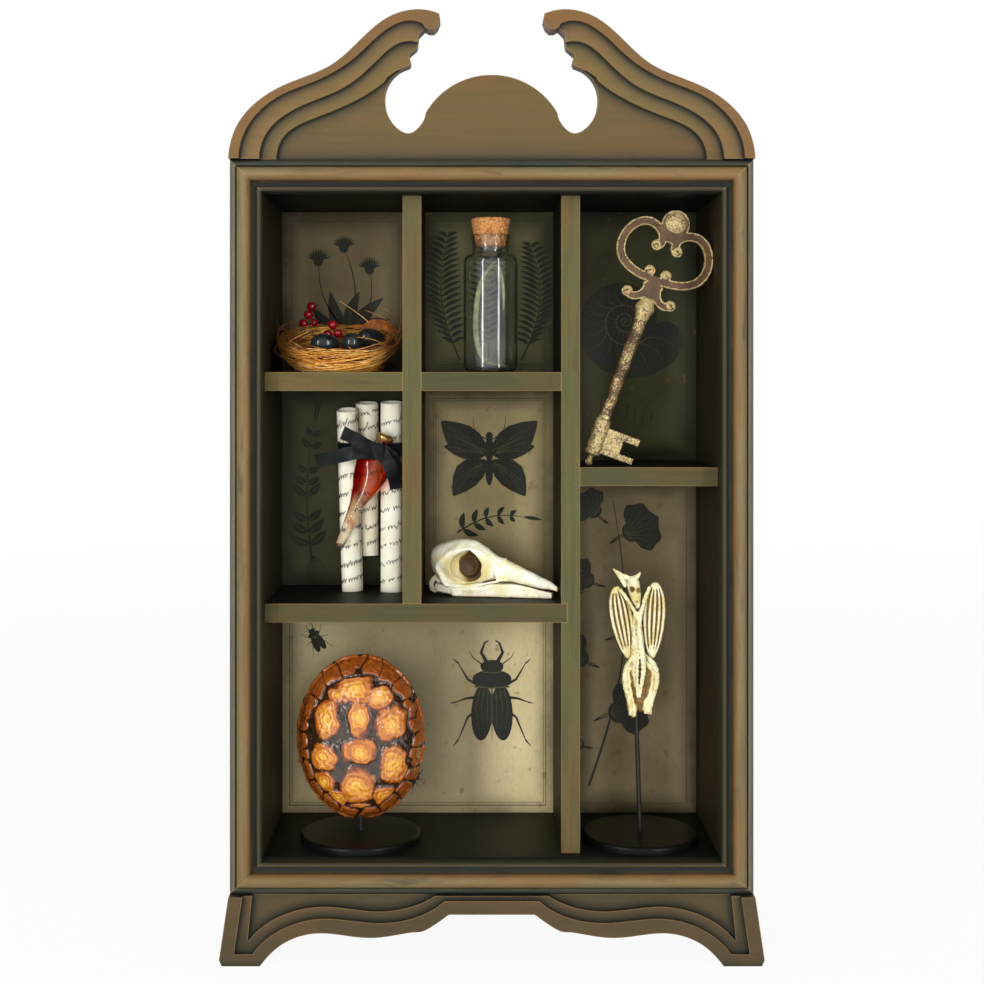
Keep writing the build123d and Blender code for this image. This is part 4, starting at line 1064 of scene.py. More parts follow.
plume = bmesh.new()
y = vial["y"]
quill = [(3.4, y - 2, 472.0), (-3.0, y - 3, 466.5), (-8.6, y - 3, 454.0), (-10.4, y - 2, 438.0),
         (-10.6, y - 1, 420.0), (-8.2, y, 407.0), (-2.4, y + 1, 400.5), (4.6, y + 1, 399.6)]
second = [(4.6, y + 2, 471.0), (8.6, y + 1, 462.0), (9.8, y, 449.0), (9.0, y - 1, 438.0)]
curls = ((quill, (0.5, 1.2, 1.9, 2.3, 2.3, 2.0, 1.3, 0.5)), (second, (0.5, 1.8, 1.6, 0.5)))
vanes = [[(*spot, width) for spot, width in zip(curl, widths)] for curl, widths in curls]
take(plume, tubes(vanes, 0.85, corners=2, steps=10))
for vert in plume.verts:
    vert.co.y = y + (vert.co.y - y) * 0.5
barbs = []
for i in range(96):  # Fine down that fills the curl
    share = i / 95
    place = min(len(quill) - 2, int(share * (len(quill) - 1)))
    part = share * (len(quill) - 1) - place
    foot = Vector(quill[place]).lerp(Vector(quill[place + 1]), part)
    reach = chance.uniform(7, 16)
    drop = chance.uniform(-9, -2)
    tip = Vector((min(13.0, foot.x + reach), foot.y + chance.uniform(-3, 3), max(397.5, foot.z + drop)))
    middle = (foot + tip) / 2 + Vector((0, chance.uniform(-1, 1), 2.5))
    barbs.append([(*foot, 1.0), (*middle, 0.8), (*tip, 0.3)])
take(plume, tubes(barbs, 0.11, corners=0, steps=3))
vaneFinish = shine("featherVane", ((0.3, (112, 122, 78)), (0.7, (160, 166, 118))), (140, 140, 300), 0.6)
addPiece("feather", plume, vaneFinish, "vial", ["feather"])
print("cabinet: vial filled")


# ---- Key: a softened casting whose bow is sunk between raised rims ----
key = {
    "tip": Vector((67.54, -19.5, 332.7)), "lean": math.radians(20.2), "front": -22.0, "rim": 1.25,
    "sunk": 0.9,
}
keyAcross = Vector((math.cos(key["lean"]), 0, -math.sin(key["lean"])))
keyAlong = Vector((math.sin(key["lean"]), 0, math.cos(key["lean"])))


def keyPoint(across, along, forward, width=1.0):
    return (*(key["tip"] + keyAcross * across + keyAlong * along - Vector((0, forward, 0))), width)


casting = cadCopy("key")
casting.normal_update()
front = [f for f in casting.faces
         if f.normal.y < -0.97 and abs(f.calc_center_median().y - key["front"]) < 0.05]
bmesh.ops.inset_region(casting, faces=front, thickness=key["rim"], use_even_offset=False)
floorVerts = {v for f in front for v in f.verts}
bmesh.ops.translate(casting, verts=list(floorVerts), vec=(0, key["sunk"], 0))
rolls = []
for side in (-1, 1):
    for middle, radius in (((15.8, 120.2), 2.5), ((7.4, 157.0), 2.5), ((5.9, 138.6), 2.4)):
        rolls.append([keyPoint(side * (middle[0] + radius * math.cos(a) * (1 - a / 11)),
                               middle[1] + radius * math.sin(a) * (1 - a / 11), 2.2, 0.95)
                      for a in [k * 0.7 for k in range(9)]])
take(casting, tubes(rolls, 1.0, corners=2, steps=4))
beads = [((0, 176.0), 7.6, 3.4), ((0, 112.6), 4.6, 4.4)]
for (across, along), radius, forward in beads:
    ballAt(casting, Vector(keyPoint(across, along, 1.2)[:3]), (radius, forward, radius), 24, 14)
casting = remeshed(casting, 0.36, 2)
roughen(casting, 2.2, 0.22, 3)
roughen(casting, 0.9, 0.16, 9)
gildLayer = casting.verts.layers.float.new("proud")
casting.normal_update()
for vert in casting.verts:  # Gold stays on the rims of the bow, along the shaft and on the barrel and bit
    along = (vert.co - key["tip"]).dot(keyAlong)
    if along < 112 or (along > 168 and vert.co.y < key["front"] - 0.3):
        vert[gildLayer] = (0.42 if 34 < along < 104 else 0.56) + 0.12 * max(0.0, -vert.normal.y)
    else:
        sunken = ease((vert.co.y - key["front"] - 0.25) / 0.5)
        vert[gildLayer] = 0.95 - 0.85 * sunken * ease((-vert.normal.y - 0.75) * 5)
addPiece("keyCasting", casting, antiqueMetal(), "key_casting", ["key"], sharp=70)
print("cabinet: key cast")


# ---- Scrolls of paper with pen marks, satin ribbon, glass horn and gilt bead ----
scrolls = {
    "scroll_left": {"foot": (-99.0, 22.5, 237.7), "head": (-103.0, 22.5, 369.6),
                    "radius": 7.75, "start": 1.2, "slant": 3.8},
    "scroll_middle": {"foot": (-89.4, 35.5, 262.0), "head": (-89.4, 35.5, 373.7),
                      "radius": 8.45, "start": 2.6, "slant": 2.4},
    "scroll_right": {"foot": (-70.6, 22.5, 237.4), "head": (-70.6, 22.5, 374.4),
                     "radius": 8.45, "start": 0.4, "slant": 2.4},
}
rolled = {"turns": 2.75, "points": 132, "levels": 14, "outset": 0.13, "coil": 1.35, "thickness": 0.18}
paper = paperFinish()
penInk = shine("penInk", ((0.3, (34, 30, 28)), (0.7, (58, 52, 46))), 600, 0.6)


def penPoint(foot, rise, reach, angle, lift, width):
    # On the face of a scroll, at that angle from its front and that far up it
    spot = foot + rise * (min(rise.length - 4.5, max(2.0, lift)) / rise.length)
    return (spot.x + reach * math.sin(angle), spot.y - reach * math.cos(angle), spot.z, width)


for scrollName, roll in scrolls.items():
    label = scrollName.title().replace("_", "")
    foot = Vector(roll["foot"])
    rise = Vector(roll["head"]) - foot
    sheet = bmesh.new()
    ring = []
    for i in range(rolled["points"]):  # The paper spirals inward
        share = i / (rolled["points"] - 1)
        angle = roll["start"] + rolled["turns"] * math.tau * share
        radius = roll["radius"] - rolled["outset"] - rolled["coil"] * share
        ring.append(sheet.verts.new((radius * math.cos(angle), radius * math.sin(angle), 0)))
    strip = [sheet.edges.new(pair) for pair in zip(ring, ring[1:])]
    for step in range(rolled["levels"]):
        grown = bmesh.ops.extrude_edge_only(sheet, edges=strip)["geom"]
        raised = [v for v in grown if isinstance(v, bmesh.types.BMVert)]
        strip = [e for e in grown if isinstance(e, bmesh.types.BMEdge)]
        bmesh.ops.translate(sheet, verts=raised, vec=(0, 0, rise.length / rolled["levels"]))
    lean = rise.to_track_quat("Z", "Y").to_matrix()
    for vert in sheet.verts:  # Slightly soft, uneven paper
        away = Vector((vert.co.x, vert.co.y, 0))
        wander = noise.noise(Vector((vert.co.x * 0.12, vert.co.y * 0.12, vert.co.z * 0.03 + foot.x)))
        vert.co -= away.normalized() * max(0.0, wander) * 0.35
        front = 0.5 - 0.5 * (lean @ away).y / roll["radius"]
        vert.co.z -= roll["slant"] * front * ease((vert.co.z - rise.length + 24) / 24)
    bmesh.ops.solidify(sheet, geom=sheet.faces, thickness=rolled["thickness"])
    setDown(sheet, sheet.verts, lean, foot)
    addPiece("paper" + label, sheet, paper, "scroll_bundle", [scrollName], sharp=60)

    reach = roll["radius"] + 0.02
    marks = []
    level = 6.0
    while level < rise.length - 7:  # Looping pen strokes in rising rows; they spell nothing
        place = chance.uniform(-1.5, -1.2)
        while place < 1.35:
            letters = chance.randint(2, 5)
            stride = chance.uniform(0.2, 0.29)
            stroke = []
            for i in range(letters * 5 + 1):
                turn = i / 5 * math.tau
                tall = 1.5 if chance.random() < 0.82 else chance.choice((-2.4, 2.7))
                angle = place + stride * i / 5 + 0.05 * math.sin(turn) + 0.035 * math.cos(turn)
                lift = level + tall * math.cos(turn) * chance.uniform(0.75, 1.1) + 3.4 * (angle + 1.3) * 0.6
                stroke.append(penPoint(foot, rise, reach, angle, lift, chance.uniform(0.45, 1.3)))
            marks.append(stroke)
            place += stride * letters + chance.uniform(0.14, 0.3)
            if chance.random() < 0.3:  # A long slanting flourish
                high, low = level + chance.uniform(2.5, 5.0), level - chance.uniform(0.5, 3.0)
                slant = []
                for i in range(5):
                    angle = place - 0.3 + 0.34 * i / 4 + 0.05 * math.sin(i)
                    lift = low + (high - low) * i / 4 + 2.0 * (angle + 1.3)
                    slant.append(penPoint(foot, rise, reach, angle, lift, 0.5 + 0.2 * i))
                marks.append(slant)
        level += chance.uniform(11.0, 13.5)
    addPiece("pen" + label, strung(marks, 0.22, 0, 3), penInk, "scroll_bundle")

ribbon = {"width": 10.0, "level": 339.0, "knot": Vector((-78.7, -3.1, 339.0)), "thickness": 0.22}
ringSpots = []
tiedTubes = ((-102.0, 22.5, 8.15), (-70.6, 22.5, 8.85), (-89.4, 35.5, 8.85), (-88.0, 5.5, 6.4),
             (-76.0, 5.5, 6.4))
for step in range(120):  # The band is the tight outline round the three tubes
    angle = math.tau * step / 120
    heading = toward(angle)
    reach = max(heading.dot(Vector((x, y))) + radius for x, y, radius in tiedTubes)
    ringSpots.append((heading, reach))
hull = []
for (first, firstReach), (after, afterReach) in zip(ringSpots, ringSpots[1:] + ringSpots[:1]):
    cross = first.x * after.y - first.y * after.x
    hull.append(Vector(((firstReach * after.y - afterReach * first.y) / cross,
                        (first.x * afterReach - after.x * firstReach) / cross)))
cloth = bmesh.new()
clothLength = 0.0


def strip(centres, across, ripple=0.0):
    # A ribbon along a line: across gives the direction of its width at each point
    global clothLength
    rows = []
    for i, (centre, side) in enumerate(zip(centres, across)):
        row = []
        for k in range(5):
            share = k / 4 - 0.5
            row.append(cloth.verts.new(centre + side * (share * ribbon["width"])
                                       + Vector((0, ripple * math.sin(i * 0.9 + k * 0.8), 0))))
        rows.append(row)
    for before, after in zip(rows, rows[1:]):
        for k in range(4):
            cloth.faces.new((before[k], before[k + 1], after[k + 1], after[k]))
    clothLength += sum((b - a).length for a, b in zip(centres, centres[1:]))


upright = Vector((0, 0, 1))
band = [Vector((spot.x, spot.y, ribbon["level"] + 0.6 * math.sin(i * 0.12))) for i, spot in enumerate(hull)]
strip(band + band[:1], [upright] * (len(band) + 1))
tailRoutes = (
    ((-79, 339.5, -3.6), (-86, 342.0, -4.6), (-93, 346.6, -4.4), (-99, 350.0, -3.4), (-104.2, 352.2, -2.2)),
    ((-79, 338.0, -2.2), (-90, 339.2, -3.4), (-100, 337.4, -3.2), (-112, 334.2, -2.4), (-123, 331.6, -1.4)),
    ((-78.5, 339.5, -3.4), (-73.5, 334.5, -4.4), (-69.6, 327.0, -4.0), (-66.8, 319.0, -3.0),
     (-65.8, 312.5, -2.0)),
    ((-78.5, 340.0, -1.8), (-73.0, 338.6, -2.6), (-68.4, 334.0, -2.4), (-66.4, 327.0, -1.8),
     (-66.2, 321.0, -1.2)),
)
for route in tailRoutes:
    line = tubes([[(x, y, z, 1.0) for x, z, y in route]], 0.0, steps=7)
    centres = [v.co.copy() for v in line.vertices]
    bpy.data.meshes.remove(line)
    sides = []
    for i, centre in enumerate(centres):
        way = (centres[min(i + 1, len(centres) - 1)] - centres[max(i - 1, 0)]).normalized()
        twist = Matrix.Rotation(0.35 * math.sin(i * 0.22), 3, way)
        sides.append(twist @ way.cross(Vector((0, -1, 0))).normalized())
    strip(centres, sides, 0.25)
wrap = []  # The knot: one short turn of ribbon over the crossing
for i in range(13):
    angle = math.pi * (i / 12 - 0.5)
    over = Vector((math.sin(angle) * 5.2, -math.cos(angle) * 1.9 - 0.1, math.sin(angle) * 1.6))
    wrap.append(ribbon["knot"] + over)
strip(wrap, [Vector((-0.2, 0, 0.98))] * len(wrap), 0.3)
bmesh.ops.solidify(cloth, geom=cloth.faces, thickness=ribbon["thickness"])
satin = addPiece("satinRibbon", cloth, satinFinish(), "scroll_bundle", ["ribbon"], sharp=50)

horn = {"top": Vector((-80.3, 5.5, 341.0)), "tip": Vector((-107.2, 5.5, 271.8))}
hornAxis = (horn["tip"] - horn["top"]).normalized()
hornLength = (horn["tip"] - horn["top"]).length
hornSections = (  # Share of the length, shift to the right, half width and half depth
    (-0.05, 2.4, 3.4, 2.6), (0.0, 2.0, 6.4, 3.8), (0.05, 1.4, 9.6, 4.6), (0.1, 1.0, 11.4, 5.2),
    (0.18, 2.2, 12.8, 6.6), (0.26, 3.4, 13.1, 7.5), (0.34, 3.4, 11.8, 7.4), (0.42, 3.0, 9.4, 6.9),
    (0.5, 2.2, 7.3, 5.9), (0.58, 1.5, 5.4, 5.0), (0.67, 1.3, 4.7, 4.5), (0.76, 1.2, 4.2, 4.1),
    (0.88, 0.8, 3.6, 3.6), (0.97, 0.5, 3.2, 3.2), (0.985, 0.4, 3.4, 3.4), (1.0, 0.4, 3.3, 3.3))
blown = spun([(1.0, share) for share, *_ in hornSections], (0, 0, 0), 56)
hornSide = Vector((-hornAxis.z, 0, hornAxis.x))
for vert in blown.verts:  # The round tube is pressed, lobed and twisted section by section
    share = vert.co.z
    angle = math.atan2(vert.co.y, vert.co.x)
    shift, halfWidth, halfDepth = 0.0, 1.0, 1.0
    for (low, *lowSizes), (high, *highSizes) in zip(hornSections, hornSections[1:]):
        if low - 1e-6 <= share <= high + 1e-6:
            part = (share - low) / (high - low)
            shift, halfWidth, halfDepth = [a + (b - a) * part for a, b in zip(lowSizes, highSizes)]
    wave = 0.5 + 0.5 * math.cos(3 * angle + 1.2 - 2.2 * share)
    lobe = 1 - 0.16 * ease(share * 4) * ease((0.8 - share) * 3) * wave
    deep = Vector((0, math.sin(angle) * halfDepth * lobe, 0))
    wide = hornSide * (shift + math.cos(angle) * halfWidth * lobe)
    vert.co = horn["top"] + hornAxis * (share * hornLength) + deep + wide
bmesh.ops.holes_fill(blown, edges=blown.edges)
redGlass = hornGlass(horn["top"] * mm, hornAxis, hornLength * mm)
addPiece("glassHorn", blown, redGlass, "scroll_bundle", ["glass_horn"], sharp=60)
mouth = horn["tip"] - hornAxis * 0.6 + hornSide * 0.4
lip = [(*(mouth + hornSide * (math.cos(a) * 3.0) + Vector((0, math.sin(a) * 3.0, 0))), 1.0)
       for a in [k * math.tau / 16 for k in range(17)]]
darkGlass = shine("darkGlass", ((0.3, (44, 10, 6)), (0.7, (92, 26, 14))), 200, 0.08, 0.6)
addPiece("hornLip", strung([lip], 0.55, 2, 3), darkGlass, "scroll_bundle")
beadMiddle = horn["top"] - hornAxis * 8.2 + hornSide * 2.4
gilt = spun([(0, 3.8), (2.6, 3.7), (4.9, 3.0), (6.2, 1.9), (6.6, 0.9), (6.3, -0.3), (5.3, -1.9),
             (4.7, -2.7), (3.0, -3.0), (3.0, -4.2), (0, -4.2)], (0, 0, 0), 44)
lean = (-hornAxis).to_track_quat("Z", "Y").to_matrix()
setDown(gilt, gilt.verts, lean, beadMiddle)
giltMetal = Finish("giltMetal", 0.26)
dents = giltMetal.cloud(260, detail=3.0)
upper = giltMetal.sum("SUBTRACT", giltMetal.axes()[2], beadMiddle.z * mm - 0.01)
upper = giltMetal.ramp(giltMetal.sum("MULTIPLY", upper, 50.0), (0.4, 0.0), (0.52, 1.0))
gold = giltMetal.ramp(dents, (0.3, (170, 122, 56)), (0.6, (230, 190, 112)))
giltMetal.set(Base_Color=giltMetal.mix(upper, tone(120, 44, 18), gold),
              Metallic=giltMetal.sum("MULTIPLY", upper, 0.8), Coat_Weight=0.5)
giltMetal.bump(dents, 0.0003, 0.5)
addPiece("giltBead", gilt, giltMetal.material, "scroll_bundle", ["gilt_bead"], sharp=60)
print("cabinet: scrolls tied, ribbon", round(clothLength), "mm long")


# ---- Bird skull ----
skull = {"back": Vector((-42.6, 12.0, 237.4)), "turn": math.radians(-18.4)}
eyeSocket = {"forward": 29.5, "height": 19.2, "halfLength": 18.6, "halfHeight": 13.0, "depth": 1.4}
eyeHole = {"forward": 31.8, "height": 20.6, "halfLength": 8.6, "halfHeight": 10.4, "depth": 6.6}
skullForward = Vector((math.cos(skull["turn"]), math.sin(skull["turn"]), 0))
skullSide = Vector((-math.sin(skull["turn"]), math.cos(skull["turn"]), 0))


def outOf(hollow, forward, height):
    # 0 in the middle of an oval hollow, 1 at its rim
    return math.hypot((forward - hollow["forward"]) / hollow["halfLength"],
                      (height - hollow["height"]) / hollow["halfHeight"])


def skullPoint(forward, side, height, width=1.0):
    return (*(skull["back"] + skullForward * forward + skullSide * side + Vector((0, 0, height))), width)


head = cadCopy("skull_cranium")
bars = []
for side in (-1, 1):  # Cheek bar under each eye socket, and the rim behind it
    bars.append([skullPoint(15, side * 10.6, 8.2, 1.3), skullPoint(24, side * 12.0, 7.0, 1.2),
                 skullPoint(36, side * 10.4, 7.8, 1.1), skullPoint(49, side * 6.8, 10.5, 1.1),
                 skullPoint(60, side * 4.6, 12.4, 0.7)])
    bars.append([skullPoint(11, side * 10.4, 19.0, 1.2), skullPoint(12, side * 11.6, 12.0, 1.4),
                 skullPoint(17, side * 11.4, 7.2, 1.6)])
for reach in (1.0, 0.55):  # The bony ring low at the back
    bars.append([skullPoint(5.6 + 4.2 * reach * math.cos(a), -5.0 + 1.6 * math.sin(a),
                            7.4 + 5.6 * reach * math.sin(a), 0.9)
                 for a in [k * math.tau / 12 for k in range(13)]])
take(head, tubes(bars, 1.15, corners=2, steps=5))
head = remeshed(head, 0.55, 3)
hollowLayer = head.verts.layers.float.new("hollow")
for vert in head.verts:
    local = vert.co - skull["back"]
    forward, side = local.dot(skullForward), local.dot(skullSide)
    height = local.z
    wander = noise.noise(vert.co * 0.16) * 0.1
    bowl = outOf(eyeSocket, forward, height) + wander
    hole = outOf(eyeHole, forward, height) + wander * 1.4
    outer = ease((abs(side) - 4.0) / 3.0)
    inward = eyeSocket["depth"] * ease((1.1 - bowl) * 3) + eyeHole["depth"] * ease((1.1 - hole) * 4.5)
    inward = min(inward, max(0.0, abs(side) - 2.2))
    away = skullSide * math.copysign(1.0, side)
    vert.co -= away * (inward * outer)
    crest = math.exp(-((bowl - 1.08) / 0.1) ** 2)  # A raised brow round the socket
    vert.co += away * (0.9 * crest * outer)
    # Stored for the bone finish: yellowed round the socket, and painted shade dark brown deep in the eye hole
    vert[hollowLayer] = 0.3 * ease((1.04 - bowl) * 4) + 0.7 * ease((1.06 - hole) * 5)
    if forward > 44:  # Nostril groove and the ridge along the bill
        groove = math.exp(-((height - (20.5 - (forward - 44) * 0.24)) / 1.3) ** 2) * ease((72 - forward) / 12)
        vert.co -= away * (0.7 * groove * ease((forward - 48) / 5))
for middle, reach, rounds in (((55, 0, 28), 11, 22), ((48, -8, 11), 7, 16), ((48, 8, 11), 7, 16)):
    spot = Vector(skullPoint(*middle)[:3])  # Brow and cheek run smoothly into the bill
    near = [v for v in head.verts if (v.co - spot).length < reach]
    smoothed(head, near, rounds)
roughen(head, 6.0, 0.5, 2)
roughen(head, 1.6, 0.12, 5)
skullBone = boneFinish("skullBone", (246, 243, 222), (226, 216, 156), (112, 80, 38), 0.012, 0.15, 0.5,
                       hollow=True)
addPiece("birdCranium", head, skullBone, "bird_skull", ["skull_cranium"], sharp=80)

jaw = cadCopy("skull_mandible")
hinges = []
for side in (-1, 1):
    hinges.append([skullPoint(7, side * 7.6, 6.6, 1.2), skullPoint(14, side * 9.6, 6.0, 1.6),
                   skullPoint(22, side * 9.8, 5.2, 2.0), skullPoint(34, side * 8.6, 5.4, 2.0),
                   skullPoint(48, side * 6.6, 5.8, 1.6)])
    hinges.append([skullPoint(8, side * 7.4, 4.2, 1.4), skullPoint(15, side * 8.8, 3.4, 2.0),
                   skullPoint(26, side * 9.0, 3.2, 2.0)])
take(jaw, tubes(hinges, 1.5, corners=2, steps=5))
jaw = remeshed(jaw, 0.5, 4)
for vert in jaw.verts:  # Its upper edge nearly meets the bill
    local = vert.co - skull["back"]
    forward = local.dot(skullForward)
    vert.co.z += 1.1 * ease((local.z - 2.5) / 3) * ease((forward - 38) / 12) * ease((86 - forward) / 16)
    vert.co.z = max(skull["back"].z + 0.05, vert.co.z)
roughen(jaw, 4.0, 0.35, 7)
jawBone = boneFinish("jawBone", (242, 238, 214), (218, 210, 158), (120, 94, 52), 0.006, 0.3, 0.6)
addPiece("birdJaw", jaw, jawBone, "bird_skull", ["skull_mandible"], sharp=80)
print("cabinet: skull carved")


# ---- Tortoise shell: scutes carved into the dome ----
shell = {"x": -90.8, "z": 139.5, "halfWidth": 44.8, "halfHeight": 57.5, "rim": 0.81, "relief": 1.2}
plates = (  # Centre and half size of each scute, from the middle of the shell
    (-3.2, 37.4, 13.2, 10.0), (1.0, 17.8, 7.0, 11.2), (0.4, -3.8, 11.0, 9.2), (-0.6, -29.0, 12.0, 12.4),
    (1.0, -47.0, 8.6, 4.6), (14.4, 31.4, 9.0, 6.8), (22.4, 14.5, 10.4, 11.2), (24.0, -14.0, 9.2, 13.8),
    (18.4, -37.8, 7.4, 7.4), (-15.6, 32.6, 5.4, 5.4), (-21.8, 16.9, 9.0, 12.4), (-23.8, -9.0, 9.4, 9.2),
    (-24.2, -27.4, 7.6, 7.2), (-15.4, -38.6, 6.2, 6.0),
)
dome = remeshed(cadCopy("carapace"), 0.75, 3)
amberLayer = dome.verts.layers.float.new("amber")
ringLayer = dome.verts.layers.float.new("ring")
dome.normal_update()
moves = []
for vert in dome.verts:
    x, z = vert.co.x - shell["x"], vert.co.z - shell["z"]
    wander = Vector((noise.noise(Vector((x, 0, z)) * 0.12), noise.noise(Vector((x, 9, z)) * 0.12)))
    x, z = x + wander.x * 2.4, z + wander.y * 2.4
    rho = math.hypot(x / shell["halfWidth"], z / shell["halfHeight"])
    angle = math.atan2(x, z)
    best, heart = 0.0, 0.0
    if rho < shell["rim"]:
        for middleX, middleZ, halfX, halfZ in plates:
            away = (abs((x - middleX) / halfX) ** 2.4 + abs((z - middleZ) / halfZ) ** 2.4) ** (1 / 2.4)
            best = max(best, 1.2 - away)
        best = heart = min(best, (shell["rim"] - rho) * 14)
    else:  # Marginal scutes: a ring of small browner plates
        place = (angle / math.tau * 22 + wander.x * 0.5) % 1.0
        best = min(1.0, (0.5 - abs(place - 0.5)) * 3.4) * min(1.0, (rho - shell["rim"]) * 16) * 0.9
        heart = 0.12 + 0.16 * wander.y
    outside = vert.normal.y < 0.15 and vert.co.y < -4.5
    vert[amberLayer] = max(0.0, min(1.0, best * 1.9)) if outside else 0.2
    vert[ringLayer] = heart
    if outside:
        steps = 0.14 * math.sin(best * 20) * ease(best * 4)
        moves.append((vert, vert.normal * (shell["relief"] * (ease(best * 3.2) - 0.75) + steps)))
for vert, move in moves:
    vert.co += move
roughen(dome, 7.0, 0.6, 4)
roughen(dome, 2.4, 0.42, 8)
addPiece("tortoiseCarapace", dome, scuteFinish("amberScutes"), "shell_stand", ["carapace"],
         sharp=70)
belly = remeshed(cadCopy("plastron"), 0.9, 3)
for vert in belly.verts:  # Seams between the belly plates, on the back
    if vert.co.y > -2:
        x, z = vert.co.x - shell["x"], vert.co.z - shell["z"]
        seam = min([abs(x)] + [abs(z - level) for level in (-34, -14, 4, 22, 38)])
        vert.co.y -= 0.7 * math.exp(-(seam / 0.9) ** 2)
roughen(belly, 8.0, 0.5, 6)
addPiece("tortoisePlastron", belly, shine("plastronHorn", ((0.3, (92, 58, 30)), (0.5, (176, 128, 68)),
                                                            (0.75, (206, 164, 98))), 45, 0.4, 0.3),
         "shell_stand", ["plastron"], sharp=70)
print("cabinet: shell carved")


# ---- Bat skeleton: long finger bones folded into two pods, legs drawn together below ----
bat = {"y": -8.5, "ribs": (-1.0, -0.5, 0.0, 0.5, 1.0), "rib": 1.3}


def podBones(foot, tip, halfWidths):
    foot, tip = Vector(foot), Vector(tip)
    side = (tip - foot).cross(Vector((0, 1, 0))).normalized()
    paths = []
    for rib in bat["ribs"]:
        path = []
        for share, halfWidth, halfDepth in halfWidths:
            bulge = math.sqrt(max(0.0, 1 - (rib * 0.92) ** 2))
            forward = Vector((0, bulge * halfDepth * 0.85, 0))
            spot = foot.lerp(tip, share) + side * (rib * halfWidth * 0.9) - forward
            swell = 0.62 + 0.4 * math.sin(math.pi * share ** 1.2)
            path.append((*spot, (1.0 if abs(rib) > 0.9 else 0.75) * swell))
        paths.append(path)
    return paths


podSections = ((0, 1.0, 1.0), (0.05, 2.8, 2.2), (0.25, 5.8, 3.6), (0.45, 7.0, 4.2), (0.6, 7.4, 4.6),
               (0.75, 6.9, 4.3), (0.85, 6.0, 3.8), (0.97, 2.8, 2.2), (1, 1.0, 1.2))
y = bat["y"]
pods = cadCopy("bat_wings")
smoothed(pods, pods.verts, 1, 0.4)
for vert in pods.verts:  # The skin between the bones lies deeper than they do
    vert.co.y = y + 1.6 + (vert.co.y - y) * 0.45
bones = podBones((96.5, y, 195.0), (87.6, y, 244.6), podSections)
bones += podBones((112.6, y, 195.0), (115.2, y, 247.4), podSections)
take(pods, tubes(bones, bat["rib"], corners=2, steps=4))
pods = remeshed(pods, 0.34, 1)
roughen(pods, 1.6, 0.2, 8)


def shadeHollows(lump, surface, reach, strength=0.55):
    # Stores painted shade, as brown, on what faces forward but lies deep
    layer = lump.verts.layers.float.new("hollow")
    lump.normal_update()
    for vert in lump.verts:
        if vert.normal.y < 0.3:
            vert[layer] = strength * ease((vert.co.y - surface) / reach)


shadeHollows(pods, y - 1.9, 1.3)
batBone = boneFinish("batBone", (232, 224, 184), (206, 190, 118), (96, 62, 24), 0.003, 0.4, 0.85, hollow=True)
addPiece("batWings", pods, batBone, "bat_stand", ["bat_wings"], sharp=80)

trunk = cadCopy("bat_body")
frames = [
    [(90.0, y - 3, 243.0, 1.0), (95.0, y - 4.2, 237.0, 1.05), (99.6, y - 5.0, 231.0, 1.1),
     (102.4, y - 5.4, 222, 1.2)],
    [(111.0, y - 3, 245.0, 1.0), (107.6, y - 4.4, 238.0, 1.1), (104.2, y - 5.2, 230.5, 1.2),
     (103.2, y - 5.4, 219, 1.3)],
    [(102.8, y - 5.2, 228, 0.9), (103.2, y - 5.6, 214, 1.3), (104.8, y - 5.8, 201, 1.75),
     (107.2, y - 5.4, 190, 1.5), (105.0, y - 4.8, 178, 1.1), (103.4, y - 4.2, 168, 0.8)],
    [(103.4, y - 5.2, 205, 0.8), (101.8, y - 5.4, 190, 0.8), (101.6, y - 5.0, 178, 0.7),
     (102.4, y - 4.6, 168, 0.6)],
]
for side, knee, foot in ((-1, (93.0, 185.6), (98.6, 156.6)), (1, (116.6, 185.0), (110.0, 157.4))):
    frames.append([(104 + side * 2, y - 2, 198, 1.1), (knee[0] - side * 3.0, y - 2.6, 193, 1.2),
                   (knee[0], y - 2.4, knee[1], 1.4), (knee[0] - side * 0.8, y - 2.2, 174, 1.3),
                   (foot[0] + side * 1.6, y - 2.2, 165, 1.3), (foot[0], y - 2.4, foot[1], 1.5)])
    frames.append([(knee[0] - side * 2.4, y - 1.6, 189, 0.8), (knee[0] - side * 3.6, y - 1.4, 180, 0.8),
                   (knee[0] - side * 4.4, y - 1.4, 170, 0.9), (foot[0] - side * 1.6, y - 2.0, 160, 1.0)])
    for toe in range(4):  # Claws curled together at the bottom
        at = foot[0] + (toe - 1.5) * 1.35
        frames.append([(foot[0] + (toe - 1.5) * 0.7, y - 2.2, foot[1] + 4.4, 0.7),
                       (at, y - 3.6, foot[1] + 1.0, 0.72), (at - side * 0.3, y - 2.2, foot[1] - 1.4, 0.4)])
take(trunk, tubes(frames, 1.35, corners=2, steps=5))
for across, rise, halfWidth, halfHeight in ((98.6, 178, 5.0, 15), (111.2, 178, 5.0, 15),
                                            (104.6, 170, 4.0, 13)):
    ballAt(trunk, (across, y - 0.4, rise), (halfWidth, 1.0, halfHeight), 20, 14)
trunk = remeshed(trunk, 0.38, 1)
for vert in trunk.verts:  # Notches of the breast and spine bones
    if vert.co.y < y - 3.4 and 170 < vert.co.z < 226:
        vert.co.y += 0.45 * math.sin(vert.co.z * 1.9 + vert.co.x) * 0.6
roughen(trunk, 1.8, 0.45, 12)
shadeHollows(trunk, y - 2.6, 1.6, 0.75)
addPiece("batTrunk", trunk, batBone, "bat_stand", ["bat_body"], sharp=80)

